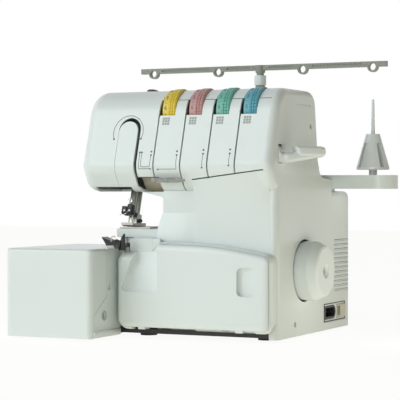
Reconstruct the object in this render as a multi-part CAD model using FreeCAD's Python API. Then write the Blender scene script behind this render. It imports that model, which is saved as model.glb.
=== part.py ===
import FreeCAD, Part
import math
import os
from FreeCAD import Vector

# Four-thread overlock sewing machine, in millimetres.
# While modelling: x = 0 is the right face, y = 0 the front of the looper cover,
# z = 0 the table. Everything is moved to the middle of the footprint at the end.

# Walls and clearances
wall = 2.5              # thickness of the plastic covers
seam = 0.4              # gap round a cover that opens or lifts out
running = 0.05          # radial clearance of a shaft turning in its bore
room = 1.0              # free space round a piece that moves
press = 0.02            # radial clearance of a hub fixed on its shaft
touch = 0.01            # two places count as one within this
over = 1.0              # cutting tools reach this far past the piece

# Base
foot_height = 4.0
foot_radius = 9.0
foot_inset = 24.0
pan_thickness = 5.0
pan_inset = 3.0
skirt_low = 2.5         # lower edge of the right end cover

# Lower body
column_width = 91.0
column_front = 18.0     # the looper cover stands this far ahead of the column
column_corner = 8.0
column_lap = 6.0        # the column's front runs up inside the head
back_lap = 12.0         # and so does its back
body_depth = 213.0
motor_top = 153.5       # top of the low rear section
sweep_foot_y = 172.0    # where the curve behind the head runs out
sweep_foot_z = 166.0
sweep_ledge = 1.0       # the curve starts this far behind the head
sweep_fall = 2.0        # and this far above its foot
motor_round = 6.0
neck_width = 47.0
neck_front = 24.0
neck_lean = 7.0         # the throat edge of the neck leans this far
neck_depth = 100.0
neck_lap = 10.0         # the neck runs up inside the head
throat_bulge = 1.0      # the throat edge swells where it begins to lean
throat_share = 15 / 22  # that place, as a share of the height under the flare
throat_round = 18.0
throat_foot = 2.0       # the lean ends this far below the bed
throat_foot_round = 4.0
flare_width = 26.0      # the neck widens to the left just under the head
flare_drop = 6.0
flare_round = 5.0
arm_length = 47.0
arm_top = 114.0
arm_lip = 9.0           # height of the bright front lip of the arm
arm_recess = 10.0       # the arm's front lies this far behind its lip
arm_skirt = 92.0        # the arm's front wall ends here, open below
arm_front_round = 2.0
arm_back_round = 4.0

# Head
head_overhang = 37.0    # the head reaches this far past the free arm
head_bottom = 153.0
under_rise = 5.0        # height of the under cover
head_top = 260.0
head_lip_y = 1.0        # lowest point of the leaning face
head_lip_z = 178.0
head_bevel = 15.0
head_back_top = 127.0
head_back_low = 138.0
head_back_z = 182.0
head_heel = 8.0         # the back leans in by this much at the bottom
face_lean = 17.0        # degrees
head_round = 17.0
crown_round = 32.0
head_end_round = 16.0
head_right_round = 8.0
column_seam = 170.5     # seam between the column panel and the head
top_seam = 249.0        # seam between the tension panels and the top cover
crown_back = 47.0       # rear edge of the tension panels
seam_rise = 11.0        # the column seam climbs this much towards the right
column_gap = 1.2        # width of that seam
top_gap = 0.6           # width of the seam over the tension panels
side_depth = 9.0        # depth of the right end cover from the right face
side_split = 60.0       # front and rear covers of the body meet here
rear_lap = 4.0          # the rear cover ends this far up the head's back
take_up_offset = 1.0    # left of the needle bar
take_up_width = 22.0
take_up_top = 227.0
take_up_slot = 3.5
notch_ahead = 16.0      # left of the neck
notch_width = 26.0
notch_top = 168.5
guide_thickness = 1.5
guide_inset = 6.0       # from the notch's left side
guide_reach = 33.0      # the guide runs on past the notch
guide_height = 5.0
guide_point = 9.0
mouth_reach = 30.0      # opening under the head, left of the needle bar
mouth_spare = 13.0      # and right of it
mouth_back = 72.0

# Tension panels and dials
dial_count = 4
panel_inset = 5.0       # the first panel starts this far right of the neck
panel_gap = 1.6
dial_radius = 25.0
dial_width = 15.0
dial_inset = 2.0        # from the panel's left edge
dial_y = 43.4
dial_z = 236.3
dial_groove = 0.8
dial_ribs = 40
rib_top = 0.5           # parts of one rib's pitch: where its top ends,
rib_foot = 0.6          # where the groove begins
rib_end = 0.9           # and where it ends
dial_scale_share = 0.42  # plain part of the rim that carries the numbers
tension_shaft_radius = 3.0
disc_radius = 12.0
disc_thickness = 1.0
disc_pitch = 1.5
spring_radius = 7.0
spring_room = 7.75      # discs and gaps beside each spring

# Needle and presser bars, on one leaning line
bar_inset = 8.0         # from the left end of the free arm
bar_y = 45.0            # needle bar at the height below
bar_z = 151.0
bar_spacing = 10.5
needle_bar_radius = 3.6
presser_bar_radius = 3.8
needle_stroke = 22.0
needle_radius = 0.8
needle_spacing = 4.0
needle_length = 22.0
needle_tip = 3.0
needle_point = 0.15
clamp_width = 12.0
clamp_depth = 13.0
clamp_height = 11.0
clamp_drop = 13.5       # clamp top below the bar's reference height
clamp_shift = 2.5       # the clamp stands out to the left of the bar
clamp_round = 1.0
clamp_screw_radius = 2.6
clamp_screw_length = 3.0
clamp_screw_gap = 0.2
clamp_screw_rise = 3.5
slot_depth = 0.8
slot_half = 0.4
foot_lift = 6.0
bar_guide = 53.0        # needle bar's length on top of its stroke
presser_guide = 104.0   # presser bar's length on top of its lift
presser_spring_length = 30.0
presser_spring_wire = 2.2
clamp_clear = 0.8       # foot shank clears the falling needle bar
sole_length = 30.0
sole_width = 14.0
sole_thickness = 3.0
sole_ahead = 0.2        # part of the sole ahead of the needle
toe_length = 5.0
toe_lift = 1.5
toe_rise = 1.2
shank_rise = 8.0        # the bar ends this far above the sole
shank_half_width = 4.5
shank_half_depth = 5.0
plate_thickness = 1.6
plate_margin = 1.0
plate_tail = 12.5
knob_radius = 6.8
knob_height = 7.0
knob_sink = 4.0
knob_round = 3.0

# Looper cover
cover_short = 9.0       # the cover stops this far short of the arm's end
cover_top_right = 89.0
cover_top_left = 101.0
cover_crown = 5.5       # the top edge bows up by this much
cover_top_low = 90.0    # lower top edge beside the knife
cover_drop_gap = 1.0    # the top edge drops this far left of the neck
cover_drop_run = 9.0
cover_drop_round = 5.0
cover_heel_round = 12.0
crown_share = 0.45      # place of the bow along the top edge
cover_round = 9.0
cover_bow = 400.0       # radius of the bowed top edge
thumb_width = 21.0
thumb_height = 29.0
thumb_left = -37.0
thumb_bottom = 47.0
thumb_depth = 5.0
thumb_round = 5.0
scoop_start = 6.0       # from the cover's left end
scoop_width = 43.0
scoop_bottom = 49.0
scoop_depth = 13.0
scoop_slant = 15.0      # the left edge slants in by this much
scoop_round = 4.0
scoop_lip = 1.5         # depth of the scoop at its bottom edge
hinge_rod_radius = 2.5
hinge_y = 11.0
hinge_z = 15.0
hinge_lug = 8.0
lug_shares = (0.85, 0.22)      # lugs along the cover, from its right end
bracket_shares = (0.75, 0.32)  # and the pan's brackets
cover_shift = 9.0       # the cover slides right this far before it opens

# Bed extension
extension_gap = 3.0     # between the cover and the extension
extension_width = 103.0
extension_front = -46.0
extension_depth = 150.0
extension_top = 94.0
extension_round = 6.0
extension_low = 2.0
extension_edge = 3.0    # rounding of the top edge
extension_seam_y = -12.5
extension_seam_z = 44.0
bracket_thickness = 9.0
bracket_screw_inset = 6.0
catch_z = 51.0          # three-cornered catch hole in the bracket
catch_width = 7.0
catch_height = 9.0
catch_lean = 4.0
catch_depth = 4.0

# Drive
shaft_y = 93.5
shaft_z = 70.0
shaft_radius = 5.0
wheel_radius = 31.0
wheel_face_radius = 26.0
wheel_width = 24.0
wheel_gap = 2.0
wheel_dimple = 8.0
wheel_dimple_depth = 3.0
wheel_dimple_slope = 2.0
wheel_shoulder = 0.6    # part of the width that keeps the full radius
wheel_round = 6.0
wheel_face_round = 4.0
shaft_end_gap = 4.0
pulley_radius = 24.0
pulley_width = 8.0
pulley_x = -14.0
motor_y = 185.0
motor_z = 55.0
motor_radius = 28.0
motor_spare = 31.0      # width of the column that the motor leaves free
motor_seat_share = 0.7
motor_pulley_radius = 8.0
motor_shaft_radius = 3.0
belt_thickness = 2.0
belt_clearance = 0.35
belt_width = 7.0

# Rear right corner: inlet, switch and vents
panel_left = 148.0
panel_low = 10.5
panel_high = 31.3
panel_depth = 1.2
inlet_left = 155.0
inlet_length = 33.0
inlet_low = 13.4
inlet_height = 14.9
inlet_depth = 20.0
inlet_corner = 2.0
switch_left = 190.0
switch_length = 26.0
switch_depth = 7.0
switch_clearance = 1.5
rocker_crest = 1.5
rocker_edge = 1.0
rocker_foot = 2.0
rocker_foot_half = 3.0
switch_angle = 14.0
inlet_pin_radius = 1.2
vent_left = 180.0
vent_length = 46.0
vent_low = 43.0
vent_pitch = 5.0
vent_count = 12
vent_height = 2.2
vent_depth = 1.2
vent_slit = 0.6         # open part at the top of each louvre
groove_left = 70.0      # short groove high on the right side
groove_length = 40.0
groove_z = 243.0
groove_height = 1.4
groove_depth = 1.2

# Presser lifter
lever_x = -14.0
lever_y = 28.0
lever_z = 188.0
lever_width = 11.0
lever_height = 10.0
lever_reach = 37.0
lever_back = 32.0
lever_rise = 8.0
lever_angle = 25.0
lever_pin_radius = 3.0
lever_pin_length = 30.0
lever_hub = 10.8        # the round hub closes the slot from inside
lever_edge = 3.5
lever_root = 2.0
lever_elbow = 9.0
lever_bend = 12.0
lever_inner_bend = 6.0
lever_side_bend = 20.0
lever_end_round = 4.0
lever_tip_share = 0.4
lever_post_half = 5.0
lever_post_margin = 9.0

# Spool tray and thread tree
tray_half = 162.0
tray_depth = 42.0
tray_low = 156.0
tray_high = 171.0
tray_floor = 3.0
tree_shift = 3.0        # left of the column's left side
inner_spool = 52.0
outer_spool = 134.5
pin_radius = 2.2
pin_top_radius = 1.4
pin_top = 254.0
pin_round_share = 0.6
spool_seat_radius = 4.5
cone_low = 177.0
cone_high = 216.0
cone_low_radius = 18.0
cone_high_radius = 7.5
cone_slots = 4
cone_slot_turn = 55.0
tube_radius = 5.5
collar_radius = 6.75
collar_low = 273.0
collar_high = 284.0
rod_radius = 4.25
rod_guide = 18.0        # the raised rod still reaches this far into the tube
tree_lift = 90.0
bar_half = 150.5
bar_low = 289.7
bar_height = 6.0
bar_depth = 6.0
bar_groove = 1.0
ring_outer = 5.8
ring_inner = 4.0

# Cover screws
screw_radius = 3.0
screw_sink = 1.2
screw_grip = 2.0
screw_low_y = 67.0
screw_low_z = 15.0
screw_high_y = 110.0
screw_high_z = 222.0

# Feed dog
feed_length = 20.0
feed_width = 10.0
feed_shift = 2.5
feed_gap = 8.0          # behind the needle
tooth_pitch = 2.0
tooth_depth = 1.2
tooth_over = 0.1
carrier_half = 3.0

# Loopers and knife
lower_looper_y = 46.0
upper_looper_y = 36.0
lower_looper_reach = 48.0
lower_looper_rise = 26.0
upper_looper_reach = 46.0
upper_looper_rise = 34.0
looper_thickness = 7.0
looper_hub = 4.0
looper_root = 3.0
looper_heel = 4.0
looper_heel_rise = 2.0
looper_elbow = 0.45     # parts of the reach where the back
looper_belly = 0.5      # and the inside of the arm bend
looper_tip_rise = 3.0
looper_tip = 1.6
looper_blade = 5.0
knife_beside = 1.0      # right of the needle bar
knife_arm_width = 7.0
knife_back = 6.0
knife_reach = 8.0
knife_low = 95.0
knife_high = 107.0
knife_hub = 5.0
knife_lever_half = 6.0
knife_riser = 9.0
knife_elbow = 16.0
knife_heel = 8.0
knife_foot = 4.0
knife_tuck = 2.0
knife_clamp_left = 9.5
knife_clamp_right = 1.0
knife_clamp_round = 2.5
blade_thickness = 1.8
blade_drop = 3.0
blade_rise = 2.0
blade_start = 1.0
blade_end = 1.0
blade_slope = 6.0
lower_knife_gap = 6.0
lower_knife_width = 2.0
lower_knife_depth = 4.0

# Cast frame: floor, bearing walls, post, arm and bar block
floor_thickness = 7.0
frame_front = 40.0
post_gap = 11.0
post_width = 30.0
post_front = 108.0
post_back = 130.0
frame_arm_low = 168.0
frame_arm_high = 190.0
bearing_right = 30.0    # from the right face
bearing_in = 13.0       # from the neck's left side
bearing_thickness = 8.0
bearing_margin = 14.0
knife_lug_margin = 10.0
looper_wall_reach = 30.0
ear_thickness = 3.0
ear_margin = 5.5
block_half = 13.0
block_high = 184.0
knife_y = 60.0
knife_z = 70.0
knife_pin_radius = 4.0
knife_lug_gap = 18.0
knife_lug_width = 8.0
looper_wall_y = 64.0
looper_wall = 8.0
looper_pin_radius = 4.0
lower_looper_in = 20.0  # looper pins, right of the neck's left side
lower_looper_z = 62.0
upper_looper_in = 32.0
upper_looper_z = 36.0

# Derived places
base_z = foot_height + pan_thickness
floor_z = base_z + floor_thickness
column_left = -column_width
neck_left = column_left - neck_width
neck_top = neck_left + neck_lean
neck_reach = neck_top - flare_width
arm_left = neck_left - arm_length
body_back = column_front + body_depth
neck_back = neck_front + neck_depth
head_length = column_width + neck_width + arm_length + head_overhang
head_left = -head_length
bar_x = arm_left + bar_inset
take_up_left = bar_x - take_up_offset
mouth_left = bar_x - mouth_reach
mouth_right = bar_x + mouth_spare
notch_left = neck_left - notch_ahead
notch_right = notch_left + notch_width
first_panel = neck_left + panel_inset
panel_pitch = (-first_panel - side_depth - panel_gap / 2) / dial_count
spring_length = panel_pitch - dial_width - spring_room
cover_width = -arm_left - cover_short
cover_drop_x = neck_left - cover_drop_gap
scoop_left = scoop_start - cover_width
scoop_right = scoop_left + scoop_width
extension_right = -cover_width - extension_gap
extension_left = extension_right - extension_width
bracket_back = column_front - room
knife_left = bar_x + knife_beside
knife_lug_left = knife_left + knife_lug_gap
knife_lug_right = knife_lug_left + knife_lug_width
lower_looper_x = neck_left + lower_looper_in
upper_looper_x = neck_left + upper_looper_in
bearing_walls = (-bearing_right, neck_left + bearing_in)
post_left = column_left + post_gap
post_right = post_left + post_width
motor_length = column_width - motor_spare
tree_x = column_left - tree_shift
lean = math.radians(face_lean)
arm_floor_y = neck_front + arm_recess
bar_length = bar_guide + needle_stroke
presser_length = presser_guide + foot_lift
rod_low = collar_low - tree_lift - rod_guide
far = 1000.0            # beyond every face, for cutting tools


# Shape helpers

def box(x0, x1, y0, y1, z0, z1):
    return Part.makeBox(x1 - x0, y1 - y0, z1 - z0, Vector(x0, y0, z0))


def cylinder_x(x0, x1, y, z, radius):
    return Part.makeCylinder(radius, x1 - x0, Vector(x0, y, z), Vector(1, 0, 0))


def cylinder_y(x, y0, y1, z, radius):
    return Part.makeCylinder(radius, y1 - y0, Vector(x, y0, z), Vector(0, 1, 0))


def cylinder_z(x, y, z0, z1, radius):
    return Part.makeCylinder(radius, z1 - z0, Vector(x, y, z0))


def outline(points, place):
    """Closed wire through (a, b) or (a, b, radius) corners; place maps (a, b) to space."""
    corners = [Vector(point[0], point[1], 0) for point in points]
    radii = [point[2] if len(point) > 2 else 0.0 for point in points]
    entries, middles, exits = [], [], []
    for index, corner in enumerate(corners):
        back = (corners[index - 1] - corner).normalize()
        ahead = (corners[(index + 1) % len(corners)] - corner).normalize()
        half = back.getAngle(ahead) / 2
        reach = radii[index] / math.tan(half)
        bisector = back + ahead
        depth = radii[index] / math.sin(half) - radii[index]
        entries.append(corner + back * reach)
        exits.append(corner + ahead * reach)
        middles.append(corner + bisector.normalize() * depth if radii[index] else corner)
    edges = []
    for index in range(len(corners)):
        following = (index + 1) % len(corners)
        if radii[index]:
            arc = [place(p.x, p.y) for p in (entries[index], middles[index], exits[index])]
            edges.append(Part.Arc(*arc).toShape())
        start = place(exits[index].x, exits[index].y)
        end = place(entries[following].x, entries[following].y)
        if start.distanceToPoint(end) > touch / 1000:
            edges.append(Part.LineSegment(start, end).toShape())
    return Part.Wire(edges)


def slab(points, place, run, inset=0.0):
    """Outline drawn in space, moved inwards by inset, and extruded along run."""
    face = Part.Face(outline(points, place))
    if inset:
        face = face.makeOffset2D(-inset)
    return face.extrude(run)


def prism_x(points, x0, x1, inset=0.0):
    return slab(points, lambda y, z: Vector(x0, y, z), Vector(x1 - x0, 0, 0), inset)


def prism_y(points, y0, y1, inset=0.0):
    return slab(points, lambda x, z: Vector(x, y0, z), Vector(0, y1 - y0, 0), inset)


def prism_z(points, z0, z1, inset=0.0):
    return slab(points, lambda x, y: Vector(x, y, z0), Vector(0, 0, z1 - z0), inset)


def turned_x(points, y, z):
    """Solid turned about the x line through (y, z), from (x, radius) corners."""
    wire = outline(points, lambda x, r: Vector(x, y, z + r))
    return Part.Face(wire).revolve(Vector(0, y, z), Vector(1, 0, 0), 360)


def turned_z(points, x, y):
    """Solid turned about the z line through (x, y), from (radius, z) corners."""
    wire = outline(points, lambda r, z: Vector(x + r, y, z))
    return Part.Face(wire).revolve(Vector(x, y, 0), Vector(0, 0, 1), 360)


def edges_at(shape, test):
    return [edge for edge in shape.Edges if test(edge.BoundBox)]


def leaning(shape):
    """A piece drawn upright on the z axis, set on the needle bar's leaning line."""
    shape.rotate(Vector(0, 0, 0), Vector(1, 0, 0), -face_lean)
    shape.translate(Vector(bar_x, bar_y, bar_z))
    return shape


def fused(shapes):
    whole = shapes[0].fuse(shapes[1:]) if len(shapes) > 1 else shapes[0]
    return whole.removeSplitter()


# Outer forms of the body; inset gives the hollow inside the covers

def column_form(inset):
    corners = [
        (column_front, skirt_low),
        (column_front, column_seam + column_lap),
        (head_back_top, head_back_z + back_lap),
        (head_back_low + sweep_ledge, sweep_foot_z + sweep_fall, crown_round / 2),
        (sweep_foot_y, sweep_foot_z),
        (sweep_foot_y, motor_top),
        (body_back, motor_top, motor_round),
        (body_back, skirt_low),
    ]
    form = prism_x(corners, column_left + inset, -inset, inset)
    front, back = column_front + inset, body_back - inset
    upright = edges_at(form, lambda b: abs(b.XMin + inset) < touch and abs(b.XMax + inset) < touch
                       and (abs(b.YMax - front) < touch or abs(b.YMin - back) < touch))
    return form.makeFillet(column_corner - inset, upright)


def neck_form(inset):
    throat_z = arm_top + throat_share * (head_bottom - flare_drop - arm_top)
    corners = [
        (column_left + column_corner, base_z),
        (column_left + column_corner, head_bottom + neck_lap),
        (neck_reach, head_bottom + neck_lap),
        (neck_reach, head_bottom),
        (neck_top, head_bottom - flare_drop, flare_round),
        (neck_top + throat_bulge, throat_z, throat_round),
        (neck_left, arm_top - throat_foot, throat_foot_round),
        (neck_left, base_z),
    ]
    return prism_y(corners, neck_front + inset, neck_back - inset, inset)


def head_outline():
    face_top = head_lip_y + (head_top - head_lip_z) * math.tan(lean)
    return [
        (head_lip_y + head_bevel, head_bottom, head_round),
        (head_lip_y, head_lip_z, head_round),
        (face_top, head_top, crown_round),
        (head_back_top, head_top, head_round),
        (head_back_low, head_back_z, head_round),
        (head_back_low - head_heel, head_bottom, head_round),
    ]


def head_form(inset):
    form = prism_x(head_outline(), head_left + inset, -inset, inset)
    left = head_left + inset
    left_rim = edges_at(form, lambda b: abs(b.XMin - left) < touch and abs(b.XMax - left) < touch)
    form = form.makeFillet(head_end_round - inset, left_rim)
    right_rim = edges_at(form, lambda b: abs(b.XMin + inset) < touch and abs(b.XMax + inset) < touch)
    return form.makeFillet(head_right_round - inset, right_rim)


def body_shell():
    outside = fused([column_form(0), neck_form(0), head_form(0)])
    inside = fused([column_form(wall), neck_form(wall), head_form(wall)])
    # The bottom is open: the base pan closes it
    mouth_column = box(column_left + wall, -wall, column_front + wall, body_back - wall,
                       skirt_low - over, base_z + 2 * wall)
    mouth_neck = box(neck_left + wall, column_left + wall, neck_front + wall, neck_back - wall,
                     base_z - over, base_z + 2 * wall)
    mouth_column = mouth_column.makeFillet(
        column_corner - wall,
        edges_at(mouth_column, lambda b: b.ZLength > wall and abs(b.XMax + wall) < touch))
    return outside.cut([inside, mouth_column, mouth_neck])


# Covers of the head and body, cut from one shell

def panel_start(index):
    return first_panel + index * panel_pitch


def dial_left(index):
    return panel_start(index) + panel_gap / 2 + dial_inset


def dial_slots():
    return [cylinder_x(dial_left(i) - dial_inset, dial_left(i) + dial_width + room / 2,
                       dial_y, dial_z, dial_radius + room) for i in range(dial_count)]


def arch(spread_left, spread_right):
    """Round-topped prism through the head's face, round the take-up cover."""
    left = take_up_left - spread_left
    right = take_up_left + take_up_width + spread_right
    top = take_up_top + spread_right
    corner = (right - left) / 2 - touch
    low = head_bottom - over
    points = [(left, low), (right, low), (right, top, corner), (left, top, corner)]
    return prism_y(points, -far, crown_back)


def front_region(x0, x1, top):
    """Space of the head's front panels between two sides, above the column seam."""
    low = head_bottom + under_rise
    points = [
        (head_left - over, low),
        (neck_top, low),
        (neck_top, head_bottom),
        (column_left, head_bottom),
        (column_left, column_seam - seam_rise / 2 + column_gap),
        (0, column_seam + seam_rise / 2 + column_gap),
        (0, top),
        (head_left - over, top),
    ]
    return prism_y(points, -far, crown_back).common(box(x0, x1, -far, far, 0, far))


def notch():
    return box(notch_left, notch_right, -far, crown_back, 0, notch_top)


def head_face_cover(shell):
    cover = shell.common(front_region(head_left - over, first_panel - panel_gap / 2, top_seam))
    return cover.cut([arch(seam, take_up_slot), notch()])


def take_up_cover(shell):
    return shell.common(front_region(head_left - over, first_panel, top_seam)).common(arch(0, 0))


def tension_panel(shell, index):
    left = panel_start(index) + panel_gap / 2
    right = panel_start(index + 1) - panel_gap / 2
    if index == dial_count - 1:
        right = -side_depth
    panel = shell.common(front_region(left, right, top_seam - top_gap))
    return panel.cut(dial_slots() + [notch()])


def knob_line(radius, low, high):
    """Upright round bar about the presser bar's own axis, then leaned."""
    return leaning(cylinder_z(0, bar_spacing, low, high, radius))


def rear_region():
    column = box(column_left, -side_depth, side_split, far, base_z, head_back_z + rear_lap)
    neck = box(neck_reach - over, column_left, side_split, far, base_z, head_bottom)
    return column.fuse(neck)


def head_top_cover(shell):
    whole = box(head_left - over, -side_depth, -far, far, head_bottom + under_rise, far)
    front = box(head_left - over, -side_depth, -far, crown_back, 0, top_seam)
    knob_hole = knob_line(knob_radius + room, head_top - bar_z - crown_round, far)
    return shell.common(whole).cut([front, rear_region(), knob_hole] + dial_slots())


def head_under_cover(shell):
    cover = shell.common(box(head_left - over, neck_top, -far, far,
                             head_bottom - over, head_bottom + under_rise))
    mouth = box(mouth_left, mouth_right, -far, mouth_back, 0, far)
    flare = box(neck_reach - over, neck_top, -far, far, 0, head_bottom)
    return cover.cut([mouth, flare, notch()])


def thread_guide():
    """Folded plate: a flange along the front and a shelf that runs back into the notch."""
    left, right = notch_left + guide_inset, notch_right + guide_reach
    high = notch_top - room
    flange = [(left, high - guide_height), (right - guide_point, high - guide_height),
              (right, high - guide_thickness), (right, high), (left, high)]
    front = prism_y(flange, head_lip_y - guide_thickness, head_lip_y)
    back = head_lip_y + head_bevel + wall
    shelf = box(left, notch_right - room, head_lip_y - guide_thickness, back, high - guide_thickness, high)
    return fused([front, shelf])


def column_front_panel(shell):
    points = [
        (column_left, base_z),
        (-side_depth, base_z),
        (-side_depth, column_seam + seam_rise / 2 - side_depth / column_width * seam_rise),
        (column_left, column_seam - seam_rise / 2),
    ]
    return shell.common(prism_y(points, -far, side_split)).cut(hinge_brackets(seam))


def neck_cover(shell):
    cover = shell.common(box(neck_reach - over, column_left, -far, side_split, base_z, head_bottom))
    looper_bay = box(neck_left - over, column_left - column_corner, -far, neck_front + 2 * wall,
                     base_z + 2 * wall, cover_top_low)
    return cover.cut([looper_bay, arm_passage()] + hinge_brackets(seam))


def arm_passage():
    """Opening between the neck and the free arm."""
    return box(neck_left - over, neck_top + wall, neck_front + wall, neck_back - wall,
               0, arm_top - arm_lip)


def rear_cover(shell):
    return shell.common(rear_region()).cut(arm_passage())


def lever_slot():
    rise = -lever_x * math.tan(math.radians(lever_angle))
    half = lever_height / 2
    return box(-side_depth, far, lever_y - lever_width / 2 - room, lever_y + lever_width / 2 + room,
               lever_z - half - room, lever_z + half + rise + 2 * room)


def vents():
    """Shallow louvres, each open along its top."""
    cuts = []
    for k in range(vent_count):
        low = vent_low + k * vent_pitch
        high = low + vent_height
        cuts.append(box(-vent_depth, far, vent_left, vent_left + vent_length, low, high))
        cuts.append(box(-side_depth, far, vent_left, vent_left + vent_length, high - vent_slit, high))
    return cuts


def inlet_window(clearance):
    y0, z0 = inlet_left - clearance, inlet_low - clearance
    y1 = inlet_left + inlet_length + clearance
    z1 = inlet_low + inlet_height + clearance
    round_end = inlet_height / 2
    return [(y0, z0, inlet_corner), (y1, z0, round_end), (y1, z1, round_end), (y0, z1, inlet_corner)]


def right_cover(shell):
    cover = shell.common(box(-side_depth, over, -far, far, 0, far))
    wheel_hole = cylinder_x(-side_depth, far, shaft_y, shaft_z, wheel_radius + wheel_gap)
    corner_panel = box(-panel_depth, far, panel_left, far, panel_low, panel_high)
    inlet_hole = prism_x(inlet_window(seam / 2), -side_depth, far)
    switch_hole = box(-side_depth, far, switch_left, switch_left + switch_length,
                      inlet_low, inlet_low + inlet_height)
    groove = box(-groove_depth, far, groove_left, groove_left + groove_length,
                 groove_z, groove_z + groove_height)
    cuts = [wheel_hole, corner_panel, inlet_hole, switch_hole, groove, lever_slot()]
    screws = [cylinder_x(-side_depth, far, y, z, screw_radius + press) for y, z in screw_places()]
    return cover.cut(cuts + vents() + screws)


# Base and cast frame

def base_pan():
    front = column_front + pan_inset + room
    left, waist, right = arm_left + pan_inset, column_left + pan_inset, -pan_inset
    step, back = neck_back - pan_inset, body_back - pan_inset
    plan = [(left, front), (right, front, column_corner), (right, back, column_corner), (waist, back),
            (waist, step), (left, step)]
    main = prism_z(plan, foot_height, base_z)
    tongue_left = extension_right - 2 * bracket_thickness
    tongue = box(tongue_left, extension_right + room, extension_front + 2 * wall, neck_front + foot_inset,
                 foot_height, base_z)
    pan = fused([main, tongue])
    pan = pan.fuse(hinge_brackets(0))
    rod_hole = cylinder_x(-cover_width, 0, hinge_y, hinge_z, hinge_rod_radius + running)
    return pan.cut(rod_hole).removeSplitter()


def hinge_brackets(gap):
    """Arms that reach forward from the pan to the cover's hinge rod, grown by a gap."""
    front = column_front + pan_inset + room
    half = hinge_rod_radius + wall / 2
    shapes = []
    for x in hinge_bracket_places():
        shapes.append(box(x - gap, x + hinge_lug + gap, hinge_y - half - wall / 2 - gap, front + wall + gap,
                          hinge_z - half - gap, hinge_z + half + gap))
        shapes.append(box(x - gap, x + hinge_lug + gap, front - gap, front + wall + gap,
                          foot_height, hinge_z + half + gap))
    return shapes


def hinge_bracket_places():
    return [-share * cover_width for share in bracket_shares]


def hinge_lug_places():
    return [-share * cover_width for share in lug_shares]


def feet_places():
    left, right = arm_left + foot_inset, -foot_inset
    front, back = neck_front + foot_inset, body_back - foot_inset
    return ((left, front), (right, front), (right, back), (left, neck_back - foot_inset))


def rubber_feet():
    return [cylinder_z(x, y, 0, foot_height, foot_radius) for x, y in feet_places()]


# Cast frame and its pins

def tension_ears():
    """x ranges of the two ears that hold the tension shaft."""
    last = dial_left(dial_count - 1) + dial_width + disc_thickness * 3 + spring_length + 2 * room
    return ((first_panel - room - 2 * ear_thickness, first_panel - room - ear_thickness),
            (last, last + ear_thickness))


def frame_casting():
    inner_edge = -inlet_depth - 3 * wall
    pieces = [
        box(arm_left + foot_inset, inner_edge, frame_front, neck_back - 2 * foot_radius + wall,
            base_z, floor_z),
        box(column_left + 2 * wall, inner_edge, frame_front, body_back - foot_inset, base_z, floor_z),
        box(post_left, post_right, post_front, post_back, base_z, frame_arm_high),
        box(bar_x - block_half, -side_depth, post_front - wall, post_back, frame_arm_low, frame_arm_high),
        box(bar_x - block_half, bar_x + block_half, bar_y - block_half + wall, post_back,
            frame_arm_low, block_high),
        box(knife_lug_left, knife_lug_right, knife_y - knife_lug_margin, knife_y + knife_lug_margin,
            base_z, knife_z + knife_lug_margin),
        box(upper_looper_x - looper_wall_reach, column_left - 2 * wall, looper_wall_y,
            looper_wall_y + looper_wall, base_z, lower_looper_z + bearing_margin),
        box(lever_x - lever_post_half, lever_x + lever_post_half, lever_y + lever_width / 2 + room,
            post_front, lever_z - lever_post_margin, lever_z + lever_post_margin),
    ]
    for x in bearing_walls:
        pieces.append(box(x, x + bearing_thickness, shaft_y - bearing_margin, shaft_y + bearing_margin,
                          base_z, shaft_z + bearing_margin))
    for x0, x1 in tension_ears():
        pieces.append(box(x0, x1, dial_y - ear_margin, post_front, frame_arm_low, dial_z + ear_margin))
    holes = [
        cylinder_x(-head_length, 0, shaft_y, shaft_z, shaft_radius + running),
        cylinder_x(first_panel - 4 * ear_thickness, 0, dial_y, dial_z, tension_shaft_radius + press),
        cylinder_x(knife_lug_left - over, knife_lug_right + over, knife_y, knife_z, knife_pin_radius + press),
        cylinder_y(lever_x, lever_y, lever_y + lever_pin_length, lever_z, lever_pin_radius + press),
        cylinder_y(lower_looper_x, 0, looper_wall_y + looper_wall + over, lower_looper_z,
                   looper_pin_radius + press),
        cylinder_y(upper_looper_x, 0, looper_wall_y + looper_wall + over, upper_looper_z,
                   looper_pin_radius + press),
        leaning(cylinder_z(0, 0, 0, block_high, needle_bar_radius + running)),
        leaning(cylinder_z(0, bar_spacing, 0, block_high, presser_bar_radius + running)),
    ]
    return fused(pieces).cut(holes)


def pivot_pins():
    knife = cylinder_x(knife_left, knife_lug_right, knife_y, knife_z, knife_pin_radius)
    back = looper_wall_y + looper_wall
    loopers = [cylinder_y(lower_looper_x, lower_looper_y, back, lower_looper_z, looper_pin_radius),
               cylinder_y(upper_looper_x, upper_looper_y, back, upper_looper_z, looper_pin_radius)]
    lever = cylinder_y(lever_x, lever_y - lever_width / 2, lever_y + lever_pin_length,
                       lever_z, lever_pin_radius)
    return [knife, lever, tension_shaft()] + loopers


# Free arm, needle plate and front cover

def bar_point(z):
    """y of the needle bar's line at a height."""
    return bar_y + (z - bar_z) * math.tan(lean)


def bed_cover():
    right = neck_left - seam
    corners = [
        (neck_front, arm_top - arm_lip),
        (neck_front, arm_top, arm_front_round),
        (neck_back, arm_top, arm_back_round),
        (neck_back, base_z),
        (arm_floor_y, base_z),
        (arm_floor_y, arm_top - arm_lip),
    ]
    outside = prism_x(corners, arm_left, right)
    hollow_top = box(arm_left + wall, far, arm_floor_y + wall, neck_back - wall, 0, arm_top - wall)
    hollow_lip = box(arm_left + wall, right - wall, neck_front + wall, neck_back - wall,
                     arm_top - arm_lip - over, arm_top - wall)
    open_front = box(arm_left + wall, far, 0, arm_floor_y + wall, 0, arm_skirt)
    return outside.cut([hollow_top, hollow_lip, open_front, needle_hole(0), feed_slot()])


def needle_hole(spare):
    y = bar_point(arm_top)
    return box(bar_x - needle_spacing - spare, bar_x + needle_spacing + spare,
               y - 2 * room - spare, y + 2 * room + spare, arm_top - 2 * arm_lip, far)


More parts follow.
